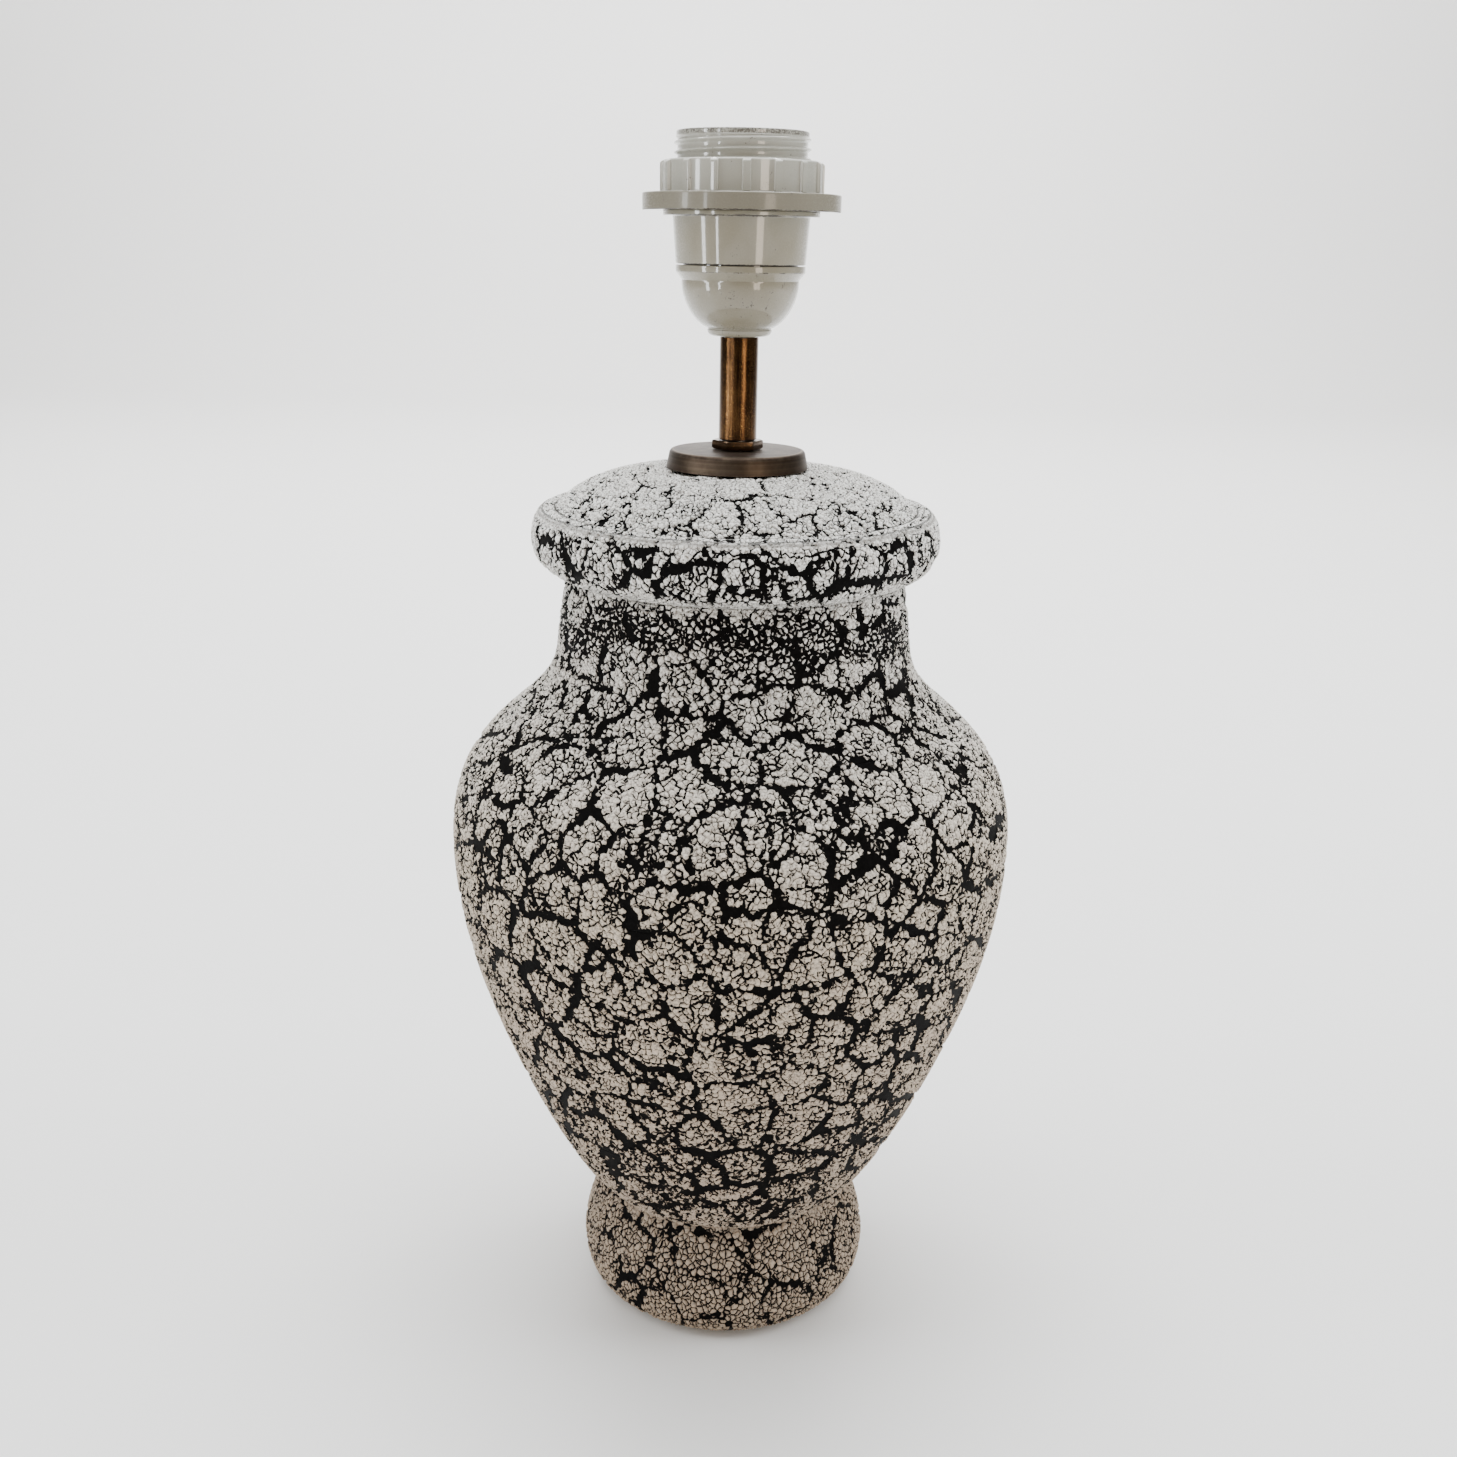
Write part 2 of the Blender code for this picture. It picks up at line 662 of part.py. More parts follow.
def make_skirt(holder):
    """Upper shell of the lampholder: tapered body, shade collar and thread."""
    spigot_bore = SPIGOT_RADIUS + SEAT_GAP
    profile = [
        (THREAD_RADIUS, SKIRT_TOP),
        (THREAD_RADIUS, COLLAR_TOP),
        (COLLAR_RADIUS, COLLAR_TOP),
        (COLLAR_RADIUS, COLLAR_BOTTOM),
        (SKIRT_TOP_RADIUS, COLLAR_BOTTOM),
        (BEAD_RADIUS, SKIRT_BOTTOM),
        (spigot_bore, SKIRT_BOTTOM),
        (spigot_bore, CLAMP_RIB_BOTTOM),
        (CLAMP_RIB_RADIUS, CLAMP_RIB_BOTTOM),
        (CLAMP_RIB_RADIUS, CLAMP_RIB_TOP),
        (SKIRT_BORE_RADIUS, CLAMP_RIB_TOP),
        (SKIRT_BORE_RADIUS, SKIRT_TOP),
    ]
    turned("holder_skirt", profile, holder, 0, SHELL_SEGMENTS, WHITE)


def grip_outline():
    """Corner points of the ribbed grip, seen from above: each rib stands on the panels' circle."""
    panel_radius = GRIP_RADIUS - GRIP_PANEL_DEPTH
    points = []
    for number in range(GRIP_RIB_COUNT):
        middle = math.radians(GRIP_TURN - 90) + number * math.tau / GRIP_RIB_COUNT
        next_middle = middle + math.tau / GRIP_RIB_COUNT
        rib_half = math.asin(GRIP_RIB_WIDTH / 2 / GRIP_RADIUS)
        panel_half = math.asin(GRIP_RIB_WIDTH / 2 / panel_radius)
        between = (middle + next_middle) / 2
        corners = [
            (panel_radius, middle - panel_half),
            (GRIP_RADIUS, middle - rib_half),
            (GRIP_RADIUS, middle + rib_half),
            (panel_radius, middle + panel_half),
            (panel_radius, between),
        ]
        points += [(radius * math.cos(angle), radius * math.sin(angle)) for radius, angle in corners]
    return points


def outline_solid(name, points, thickness, parent, height):
    """A flat outline given a thickness: a filled 2D curve, made a mesh with its caps welded."""
    curve = bpy.data.curves.new(name, "CURVE")
    curve.dimensions = "2D"
    curve.fill_mode = "BOTH"
    curve.extrude = thickness / 2
    spline = curve.splines.new("POLY")
    spline.points.add(len(points) - 1)
    for corner, (across, along) in zip(spline.points, points):
        corner.co.xy = (across, along)
    spline.use_cyclic_u = True
    guide = bpy.data.objects.new(name, curve)
    bpy.context.scene.collection.objects.link(guide)
    graph = bpy.context.evaluated_depsgraph_get()
    mesh = bpy.data.meshes.new_from_object(guide.evaluated_get(graph))
    bpy.data.objects.remove(guide)
    solid = bmesh.new()
    solid.from_mesh(mesh)
    bmesh.ops.remove_doubles(solid, verts=solid.verts, dist=WELD)
    bmesh.ops.translate(solid, verts=solid.verts, vec=(0, 0, thickness / 2))
    bmesh.ops.recalc_face_normals(solid, faces=solid.faces)
    solid.to_mesh(mesh)
    solid.free()
    mesh.materials.clear()
    return place(name, mesh, parent, height)


def make_shade_ring(holder):
    """Ring that is screwed down on a shade: a flange below and a grip with ribs above.

    Outside the collar, the flange's lower face reaches down to the level of the collar's top. This
    rim clamps the shade.
    """
    rim_radius = COLLAR_RADIUS + SEAT_GAP
    height = FLANGE_THICKNESS + GRIP_HEIGHT
    flange = [
        (0, FLANGE_THICKNESS),
        (FLANGE_RADIUS, FLANGE_THICKNESS),
        (FLANGE_RADIUS, -SEAT_GAP),
        (rim_radius, -SEAT_GAP),
        (rim_radius, 0),
        (0, 0),
    ]
    ring = turned("shade_ring", flange, holder, RING_BOTTOM, VASE_SEGMENTS, WHITE, closed=False)
    grip_bottom = FLANGE_THICKNESS / 2
    grip = outline_solid(
        "ring_grip", grip_outline(), height - grip_bottom, holder, RING_BOTTOM + grip_bottom
    )
    bore = bar(
        "ring_bore",
        THREAD_RADIUS + SEAT_GAP,
        height + 2 * OVERRUN,
        holder,
        RING_BOTTOM - OVERRUN,
        SHELL_SEGMENTS,
    )
    combine(ring, grip, "UNION")
    combine(ring, bore, "DIFFERENCE")


def rivet_hole(piece, name, holder, across):
    """Cuts the vertical hole of a rivet that stands at a distance across from the axis."""
    hole = bar(
        name,
        RIVET_HOLE_RADIUS,
        SHELL_BOTTOM - PLATE_BOTTOM + 2 * OVERRUN,
        holder,
        PLATE_BOTTOM - OVERRUN,
        SMALL_SEGMENTS,
    )
    hole.location.x = across
    combine(piece, hole, "DIFFERENCE")
    return hole


def rivet(name, holder, across, top):
    """A rivet from under the terminal's plate to the top of what it holds."""
    bottom = PLATE_BOTTOM - SEAT_GAP
    head_bottom = top + SEAT_GAP
    profile = [
        (0, head_bottom + RIVET_HEAD_HEIGHT),
        (RIVET_HEAD_RADIUS, head_bottom + RIVET_HEAD_HEIGHT),
        (RIVET_HEAD_RADIUS, head_bottom),
        (RIVET_RADIUS, head_bottom),
        (RIVET_RADIUS, bottom),
        (RIVET_HEAD_RADIUS, bottom),
        (RIVET_HEAD_RADIUS, bottom - RIVET_HEAD_HEIGHT),
        (0, bottom - RIVET_HEAD_HEIGHT),
    ]
    piece = turned(name, profile, holder, 0, SMALL_SEGMENTS, CONTACT, closed=False)
    piece.location.x = across


def terminal(name, holder, rivet_across, block_across, hole):
    """Brass terminal: a plate under the insert and a block with a wire hole and a clamp screw."""
    body = block(
        f"terminal_{name}",
        (TERMINAL_BLOCK_LENGTH, TERMINAL_WIDTH, TERMINAL_BLOCK_HEIGHT + TERMINAL_PLATE_THICKNESS),
        holder,
        PLATE_BOTTOM - TERMINAL_BLOCK_HEIGHT,
        CONTACT,
    )
    body.location.x = block_across
    plate_length = abs(rivet_across - block_across) + 2 * RIVET_HEAD_RADIUS
    plate_size = (plate_length, TERMINAL_WIDTH, TERMINAL_PLATE_THICKNESS)
    plate = block(f"terminal_{name}_plate", plate_size, holder, PLATE_BOTTOM)
    plate.location.x = (rivet_across + block_across) / 2
    combine(body, plate, "UNION")
    combine(body, hole, "DIFFERENCE")

    bottom = PLATE_BOTTOM - TERMINAL_BLOCK_HEIGHT
    wire_hole = bar(
        f"wire_hole_{name}",
        WIRE_HOLE_RADIUS,
        TERMINAL_BLOCK_HEIGHT,
        holder,
        bottom - OVERRUN,
        SMALL_SEGMENTS,
    )
    wire_hole.location.x = block_across
    combine(body, wire_hole, "DIFFERENCE")
    screw_level = bottom + TERMINAL_BLOCK_HEIGHT / 2
    screw_hole = bar(
        f"clamp_hole_{name}",
        TERMINAL_SCREW_RADIUS + SEAT_GAP,
        TERMINAL_WIDTH / 2 + OVERRUN,
        holder,
        screw_level,
        SMALL_SEGMENTS,
    )
    screw_hole.location = (block_across, -TERMINAL_WIDTH / 2 - OVERRUN, screw_level)
    point_to_rear(screw_hole)
    combine(body, screw_hole, "DIFFERENCE")

    shank = TERMINAL_WIDTH / 2 - WIRE_HOLE_RADIUS + SEAT_GAP
    profile = [
        (0, shank),
        (TERMINAL_SCREW_RADIUS, shank),
        (TERMINAL_SCREW_RADIUS, 0),
        (TERMINAL_SCREW_HEAD_RADIUS, 0),
        (TERMINAL_SCREW_HEAD_RADIUS, -TERMINAL_SCREW_HEAD_HEIGHT),
        (0, -TERMINAL_SCREW_HEAD_HEIGHT),
    ]
    screw = turned(
        f"terminal_screw_{name}", profile, holder, screw_level, SMALL_SEGMENTS, STEEL, closed=False
    )
    face = -TERMINAL_WIDTH / 2 - SEAT_GAP
    screw.location = (block_across, face, screw_level)
    point_to_rear(screw)
    slot_size = (SLOT_WIDTH, SLOT_DEPTH + OVERRUN, 2 * TERMINAL_SCREW_HEAD_RADIUS + OVERRUN)
    slot = block(f"screw_slot_{name}", slot_size, holder, screw_level - slot_size[2] / 2)
    slot_floor = face - TERMINAL_SCREW_HEAD_HEIGHT + SLOT_DEPTH
    slot.location.x = block_across
    slot.location.y = slot_floor - slot_size[1] / 2
    combine(screw, slot, "DIFFERENCE")


def make_insert(holder):
    """Insulating insert, with the screw shell on it and the terminals under it."""
    spigot_bore = SPIGOT_RADIUS + SEAT_GAP
    flange_radius = spigot_bore - SEAT_GAP
    body_radius = SPIGOT_BORE_RADIUS - SEAT_GAP
    profile = [
        (0, INSERT_TOP),
        (flange_radius, INSERT_TOP),
        (flange_radius, INSERT_FLANGE_BOTTOM),
        (body_radius, INSERT_FLANGE_BOTTOM),
        (body_radius, INSERT_BOTTOM),
        (0, INSERT_BOTTOM),
    ]
    insert = turned("insert_base", profile, holder, 0, SHELL_SEGMENTS, PORCELAIN, closed=False)
    pocket_size = (CONTACT_POCKET_LENGTH, CONTACT_POCKET_WIDTH, CONTACT_POCKET_DEPTH + OVERRUN)
    pocket = block("contact_pocket", pocket_size, holder, INSERT_TOP - CONTACT_POCKET_DEPTH)
    pocket.location.x = -LEAF_REACH + RIVET_HEAD_RADIUS + CONTACT_POCKET_LENGTH / 2
    combine(insert, pocket, "DIFFERENCE")

    shell_radius = SHELL_BORE_RADIUS + SHELL_SHEET
    floor_top = SHELL_BOTTOM + SHELL_SHEET
    shell_top = SHELL_BOTTOM + SHELL_HEIGHT
    shell = turned(
        "screw_shell",
        [
            (shell_radius, shell_top),
            (shell_radius, SHELL_BOTTOM),
            (SHELL_FLOOR_BORE_RADIUS, SHELL_BOTTOM),
            (SHELL_FLOOR_BORE_RADIUS, floor_top),
            (SHELL_BORE_RADIUS, floor_top),
            (SHELL_BORE_RADIUS, shell_top),
        ],
        holder,
        0,
        SHELL_SEGMENTS,
        CONTACT,
    )
    live_hole = rivet_hole(insert, "live_rivet_hole", holder, -LEAF_REACH)
    neutral_hole = rivet_hole(insert, "neutral_rivet_hole", holder, SHELL_RIVET_RADIUS)
    combine(shell, neutral_hole, "DIFFERENCE")
    rivet("rivet_live", holder, -LEAF_REACH, LEAF_MIDDLE + LEAF_THICKNESS / 2)
    rivet("rivet_neutral", holder, SHELL_RIVET_RADIUS, floor_top)
    terminal("live", holder, -LEAF_REACH, -LEAF_REACH - TERMINAL_STEP, live_hole)
    terminal("neutral", holder, SHELL_RIVET_RADIUS, SHELL_RIVET_RADIUS - TERMINAL_STEP, neutral_hole)
    return live_hole


def make_contact(holder, rivet_hole_tool):
    """Spring leaf of the centre contact. Its origin is on its pivot, at its rivet."""
    path = [
        (-LEAF_HEEL, 0),
        (0, 0),
        (LEAF_REACH * LEAF_BEND_SHARES[0], LEAF_RISE * LEAF_BEND_SHARES[1]),
        (LEAF_REACH * LEAF_RUN_SHARES[0], LEAF_RISE * LEAF_RUN_SHARES[1]),
        (LEAF_REACH, LEAF_RISE),
    ]
    path += [(LEAF_REACH + LEAF_TIP * tip, LEAF_RISE * rise) for tip, rise in LEAF_TIP_SHARES]
    corners = [(across, side * LEAF_WIDTH / 2, up) for across, up in path for side in (-1, 1)]
    faces = [(2 * i, 2 * i + 2, 2 * i + 3, 2 * i + 1) for i in range(len(path) - 1)]
    mesh = bpy.data.meshes.new("centre_contact")
    mesh.from_pydata(corners, [], faces)
    leaf = place("centre_contact", mesh, holder, LEAF_MIDDLE, CONTACT)
    leaf.location.x = -LEAF_REACH
    sheet = leaf.modifiers.new("Sheet", "SOLIDIFY")
    sheet.thickness = LEAF_THICKNESS
    sheet.offset = 0
    combine(leaf, rivet_hole_tool, "DIFFERENCE")


for leftover in list(bpy.data.objects):
    bpy.data.objects.remove(leftover)

PARTS = collection("ceramic_table_lamp", True)
CUTTERS = collection("cutters", False)

CERAMIC = finish("crackle_glaze", (0.55, 0.52, 0.47), 0.85)
FELT = finish("felt", (0.05, 0.05, 0.05), 0.95)
RUBBER = finish("black_rubber", (0.03, 0.03, 0.03), 0.7)
BRONZE = finish("bronzed_brass", (0.25, 0.18, 0.11), 0.35, 1.0)
BRASS = finish("aged_brass", (0.42, 0.27, 0.12), 0.3, 1.0)
CONTACT = finish("contact_brass", (0.62, 0.45, 0.20), 0.3, 1.0)
STEEL = finish("zinc_plated_steel", (0.62, 0.62, 0.60), 0.35, 1.0)
WHITE = finish("white_plastic", (0.78, 0.78, 0.74), 0.25)
PORCELAIN = finish("insert_porcelain", (0.80, 0.78, 0.72), 0.4)

LAMP = bpy.data.objects.new("lamp", None)
HOLDER = bpy.data.objects.new("lampholder", None)
PARTS.objects.link(LAMP)
PARTS.objects.link(HOLDER)
HOLDER.parent = LAMP
HOLDER.location.z = HOLDER_LEVEL

make_vase(LAMP)
make_clamp(LAMP)
make_stem(LAMP)
make_dome(HOLDER)
make_skirt(HOLDER)
make_shade_ring(HOLDER)
LIVE_RIVET_HOLE = make_insert(HOLDER)
make_contact(HOLDER, LIVE_RIVET_HOLE)

SMOOTHING = smooth_by_angle()
for part in PARTS.objects:
    if part.type == "MESH":
        part.modifiers.new("Smooth by Angle", "NODES").node_group = SMOOTHING
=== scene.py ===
import math

import bmesh
import bpy
import numpy as np
from mathutils import Matrix, Vector
from mathutils.geometry import interpolate_bezier


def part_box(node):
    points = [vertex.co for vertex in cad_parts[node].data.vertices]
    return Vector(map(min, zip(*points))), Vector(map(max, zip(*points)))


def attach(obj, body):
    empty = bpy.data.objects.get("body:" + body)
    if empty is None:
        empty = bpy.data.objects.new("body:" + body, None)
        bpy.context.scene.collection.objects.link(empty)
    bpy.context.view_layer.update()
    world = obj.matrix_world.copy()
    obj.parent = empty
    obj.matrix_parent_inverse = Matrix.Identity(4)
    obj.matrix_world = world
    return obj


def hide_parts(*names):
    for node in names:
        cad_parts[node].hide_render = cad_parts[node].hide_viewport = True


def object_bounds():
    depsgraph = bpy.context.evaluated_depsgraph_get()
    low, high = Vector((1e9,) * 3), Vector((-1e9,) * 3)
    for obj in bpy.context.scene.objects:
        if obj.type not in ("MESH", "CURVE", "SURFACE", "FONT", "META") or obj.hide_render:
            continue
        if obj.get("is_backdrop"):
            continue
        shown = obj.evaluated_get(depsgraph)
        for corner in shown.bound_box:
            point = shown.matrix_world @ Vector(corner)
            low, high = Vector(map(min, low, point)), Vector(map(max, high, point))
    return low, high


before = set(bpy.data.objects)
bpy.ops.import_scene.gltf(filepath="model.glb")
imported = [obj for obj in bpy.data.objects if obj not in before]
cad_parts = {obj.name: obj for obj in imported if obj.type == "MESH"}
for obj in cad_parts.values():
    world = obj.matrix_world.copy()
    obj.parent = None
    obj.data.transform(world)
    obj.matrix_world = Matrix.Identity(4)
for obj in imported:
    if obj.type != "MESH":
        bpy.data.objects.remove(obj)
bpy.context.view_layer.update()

node_places = {name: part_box(name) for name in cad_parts}

# Camera
# Close to the lamp and a little above it, looking down on the dome of the vase.
picture_width = 1457
focal_pixels = 1589.9
camera_place = (-0.0012, -0.4875, 0.3472)
camera_pitch = math.radians(17.14)
camera_roll = math.radians(1.0)

camera_data = bpy.data.cameras.new("camera")
camera_data.lens = camera_data.sensor_width * focal_pixels / picture_width
camera_data.clip_start = 0.01
camera = bpy.data.objects.new("camera", camera_data)
camera.matrix_world = (
    Matrix.Translation(camera_place)
    @ Matrix.Rotation(math.radians(90) - camera_pitch, 4, "X")
    @ Matrix.Rotation(camera_roll, 4, "Z")
)
bpy.context.scene.collection.objects.link(camera)
bpy.context.scene.camera = camera

# Light
# Soft daylight from above and from both sides, and a dimmer warm room in front of the lamp. Two
# narrow window panes on the left and one on the right draw the upright highlights on the lacquer
# and the brass, and a wash keeps the backdrop pale.
day_colour = (0.95, 0.98, 1.0)
warm_colour = (1.0, 0.84, 0.68)
lamp_middle = (0, 0, 0.2)
holder_middle = (0, 0, 0.34)


def area_light(name, place, width, height, watts, colour, target=lamp_middle, seen="all"):
    """A soft light that faces its target. It is seen by all surfaces, or in the gloss or the
    diffuse shading alone."""
    data = bpy.data.lights.new(name, "AREA")
    data.shape = "RECTANGLE"
    data.size = width
    data.size_y = height
    data.energy = watts
    data.color = colour
    light = bpy.data.objects.new(name, data)
    light.location = place
    light.rotation_euler = (Vector(target) - Vector(place)).to_track_quat("-Z", "Y").to_euler()
    light.visible_camera = False
    light.visible_diffuse = seen != "gloss"
    light.visible_glossy = seen != "diffuse"
    bpy.context.scene.collection.objects.link(light)


area_light("sky", (0, 0.1, 1.7), 1.6, 1.6, 41, day_colour)
area_light("left_window", (-1.4, -0.1, 0.8), 0.8, 1.3, 14, day_colour, lamp_middle, "diffuse")
area_light("right_window", (1.4, 0.0, 0.8), 0.8, 1.3, 16, day_colour, lamp_middle, "diffuse")
area_light("room", (0, -1.9, 0.9), 1.6, 1.0, 11, warm_colour, lamp_middle, "diffuse")
area_light("backdrop_wash", (0, 1.3, 2.6), 3.0, 1.0, 230, (1, 1, 1), (0, 3.6, 0.8))
area_light("left_pane", (-0.92, -0.39, 0.33), 0.12, 0.6, 4.5, day_colour, holder_middle, "gloss")
area_light(
    "middle_pane", (-0.66, -0.75, 0.33), 0.07, 0.55, 2.4, day_colour, holder_middle, "gloss"
)
area_light("right_pane", (0.53, -0.85, 0.33), 0.21, 0.55, 3.3, warm_colour, holder_middle, "gloss")

room_colour = (0.95, 0.90, 0.84, 1)
room_strength = 0.3
world = bpy.data.worlds.new("room")
world.use_nodes = True
surroundings = world.node_tree.nodes["Background"]
surroundings.inputs["Color"].default_value = room_colour
surroundings.inputs["Strength"].default_value = room_strength
bpy.context.scene.world = world

# Floor
# A plain pale table top that turns up into a backdrop, with a faint unevenness in its paint.
floor_half = 4.0
floor_rear = 3.0
floor_bend = 1.0
floor_top = 3.0
bend_points = 16
floor_colour = (0.95, 0.95, 0.945)


class Wire:
    """A value in a node tree. Sums on it add Math nodes, so shader maths reads as plain maths."""

    def __init__(self, tree, socket=None):
        self.tree = tree
        self.socket = socket

    def node(self, kind, sockets=None, output=0, **settings):
        """Adds a node: its settings are set first, then the values or links of its sockets."""
        made = self.tree.nodes.new(kind)
        stops = settings.pop("stops", None)
        for name, value in settings.items():
            setattr(made, name, value)
        if stops:
            while len(made.color_ramp.elements) < len(stops):
                made.color_ramp.elements.new(1)
            for element, (position, colour) in zip(made.color_ramp.elements, stops):
                element.position = position
                element.color = (*colour, 1)
        for name, value in (sockets or {}).items():
            if isinstance(value, Wire):
                self.tree.links.new(value.socket, made.inputs[name])
            else:
                made.inputs[name].default_value = value
        return Wire(self.tree, made.outputs[output])

    def math(self, operation, *values):
        return self.node("ShaderNodeMath", dict(enumerate(values)), operation=operation)

    def __add__(self, other):
        return self.math("ADD", self, other)

    def __sub__(self, other):
        return self.math("SUBTRACT", self, other)

    def __rsub__(self, other):
        return self.math("SUBTRACT", other, self)

    def __mul__(self, other):
        return self.math("MULTIPLY", self, other)

    def __truediv__(self, other):
        return self.math("DIVIDE", self, other)

    def __rtruediv__(self, other):
        return self.math("DIVIDE", other, self)

    def __pow__(self, other):
        return self.math("POWER", self, other)

    __radd__ = __add__
    __rmul__ = __mul__

    def least(self, other):
        return self.math("MINIMUM", self, other)

    def most(self, other):
        return self.math("MAXIMUM", self, other)

    def step(self, low, high):
        """Rises smoothly from 0 at low to 1 at high."""
        sockets = {"Value": self, "From Min": low, "From Max": high}
        return self.node("ShaderNodeMapRange", sockets, interpolation_type="SMOOTHSTEP")

    def band(self, middle, reach):
        """1 at the middle, falling smoothly to 0 at the reach on either side."""
        return 1 - self.math("ABSOLUTE", self - middle).step(0, reach)

    def mix(self, low, high):
        """From one colour, where this value is 0, to another, where it is 1."""
        sockets = {0: self, 6: low, 7: high}
        return self.node("ShaderNodeMix", sockets, output=2, data_type="RGBA")

    def moved(self, shift, scale=1.0):
        """This vector plus another one times a number."""
        sockets = {0: shift, 1: (scale, scale, scale), 2: self}
        return self.node("ShaderNodeVectorMath", sockets, operation="MULTIPLY_ADD")

    def stretched(self, scales):
        return self.node("ShaderNodeVectorMath", {0: self, 1: scales}, operation="MULTIPLY")

    def noise(self, size, detail=1.0, roughness=0.5, output=0):
        """Soft noise whose lumps are about this size. Output 1 is three noises as a colour."""
        sockets = {"Vector": self, "Scale": 1 / size, "Detail": detail, "Roughness": roughness}
        return self.node("ShaderNodeTexNoise", sockets, output=output)

    def part(self, axis):
        return self.node("ShaderNodeSeparateXYZ", {0: self}, output="XYZ".index(axis))


def colour(red, green, blue):
    return (red, green, blue, 1)


def new_finish(name, roughness=0.5, metallic=0.0, coat=0.0):
    """A material with its shader, and the wire that its nodes start from."""
    material = bpy.data.materials.new(name)
    material.use_nodes = True
    shader = material.node_tree.nodes["Principled BSDF"]
    shader.inputs["Roughness"].default_value = roughness
    shader.inputs["Metallic"].default_value = metallic
    shader.inputs["Coat Weight"].default_value = coat
    return material, shader, Wire(material.node_tree)


def feed(shader, **values):
    """Links wires to the shader's sockets. Underscores stand for spaces."""
    for name, wire in values.items():
        wire.tree.links.new(wire.socket, shader.inputs[name.replace("_", " ")])


def object_place(wire):
    """The place on the piece in millimetres."""
    return wire.node("ShaderNodeTexCoord", output=3).stretched((1000, 1000, 1000))


def relief(wire, height, depth, strength=1.0):
    """A bump of this depth in metres."""
    sockets = {"Strength": strength, "Distance": depth, "Height": height}
    return wire.node("ShaderNodeBump", sockets)


def mesh_object(name, mesh, material):
    """A finished mesh as an object in the scene, with its material."""
    mesh.name = name
    mesh.materials.clear()
    mesh.materials.append(material)
    made = bpy.data.objects.new(name, mesh)
    bpy.context.scene.collection.objects.link(made)
    return made


floor_paint, floor_shader, wire = new_finish("floor_paint", roughness=0.55)
grain = object_place(wire).noise(40, detail=3)
feed(floor_shader, Base_Color=grain.mix(colour(*floor_colour), colour(0.97, 0.97, 0.965)))

bend = [
    (floor_rear + floor_bend * math.sin(turn), floor_bend * (1 - math.cos(turn)))
    for turn in np.linspace(0, math.pi / 2, bend_points)
]
profile = [(-floor_half, 0)] + bend + [(floor_rear + floor_bend, floor_top)]
corners = [(side * floor_half, y, z) for y, z in profile for side in (-1, 1)]
sheets = [(2 * i, 2 * i + 1, 2 * i + 3, 2 * i + 2) for i in range(len(profile) - 1)]
floor_mesh = bpy.data.meshes.new("floor")
floor_mesh.from_pydata(corners, [], sheets)
floor_mesh.shade_smooth()
mesh_object("floor", floor_mesh, floor_paint)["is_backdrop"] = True

# Ceramic vase
# A hollow slip casting. A white glaze shrank and crawled into raised plates over a near-black
# ground when it was fired, finer and whiter on the dome, broader and browner down to the foot.
vase_wall = 0.006
foot_mouth_radius = 0.033
stem_hole_radius = 0.007
glaze_relief = 0.00075
vase_steps = 864
row_length = 0.00058
points_before_spacing = 400
crease_fade = 0.0016
hidden_map_share = 0.15
cord_hole_radius = 0.0053
bore_run = 0.03
bore_sides = 64

# The crackle: the sizes of its crumbs and of the lumps and plates that they gather in, and the
# levels where the glaze changes, in millimetres. The pull is the share of the way to a crumb's
# middle at which a wide crack is judged, and the lobe depth how much crumbs notch a plate's edge.
crumb_size = 1.8
small_lump = 3.8
medium_lump = 7.5
plate_size = 15
plate_bend = 9
core_pull = 0.58
lobe_depth = 0.8
waist_level = 40
bare_band_level = 236
neck_crease_level = 248.5
# The level of the shadow painted into the crease between the rim and the dome.
valley_shadow_level = 267.4

# The outline: each station's radius and height above the standing face, then the handles of the
# stretch up to it, as shares of the stretch across and up, at its start and at its end.
foot_base = (0.0425, 0)
foot_bulge = (0.0486, 0.0135)
waist = (0.0412, 0.0382)
flank = (0.0784, 0.1065)
belly = (0.0894, 0.1625)
shoulder = (0.0690, 0.2040)
neck = (0.0553, 0.2255)
crease = (0.0523, 0.2465)
rim = (0.0629, 0.2580)
valley = (0.0555, 0.2667)
seat = (0.0226, 0.2786)
handle_shares = {
    foot_bulge: (0.57, 0.04, 1.00, 0.48),
    waist: (0.00, 0.32, 0.54, 0.69),
    flank: (0.26, 0.05, 0.72, 0.575),
    belly: (0.54, 0.295, 1.00, 0.64),
    shoulder: (0.00, 0.53, 0.41, 0.75),
    neck: (0.66, 0.35, 0.95, 0.58),
    crease: (0.20, 0.33, 0.50, 0.67),
    rim: (0.585, 0.13, 1.00, 0.435),
    valley: (0.00, 0.80, 0.46, 1.24),
    seat: (0.17, 0.61, 0.53, 1.00),
}


def outline(*stations):
    """A smooth line through these stations, with a point about every row's length."""
    points = []
    for start, end in zip(stations, stations[1:]):
        shares = handle_shares[end]
        across, up = end[0] - start[0], end[1] - start[1]
        handles = [
            Vector((start[0] + shares[i] * across, start[1] + shares[i + 1] * up, 0))
            for i in (0, 2)
        ]
        curve = interpolate_bezier(
            Vector((*start, 0)), *handles, Vector((*end, 0)), points_before_spacing
        )
        curve = np.array(curve)[:, :2]
        run = np.r_[0, np.cumsum(np.linalg.norm(np.diff(curve, axis=0), axis=1))]
        even = np.linspace(0, run[-1], max(2, round(run[-1] / row_length) + 1))
        stretch = np.c_[np.interp(even, run, curve[:, 0]), np.interp(even, run, curve[:, 1])]
        points += list(stretch if not points else stretch[1:])
    return np.array(points)


def leaning(line):
    """Which way is outward along a line that runs up the outside, as angles above level."""
    run = np.gradient(line, axis=0)
    return np.arctan2(-run[:, 0], run[:, 1])


def inset(line):
    """The line moved into the wall by its thickness, with a tenth as many points."""
    lean = leaning(line)
    moved = line - vase_wall * np.c_[np.cos(lean), np.sin(lean)]
    return moved[5:-5:10]


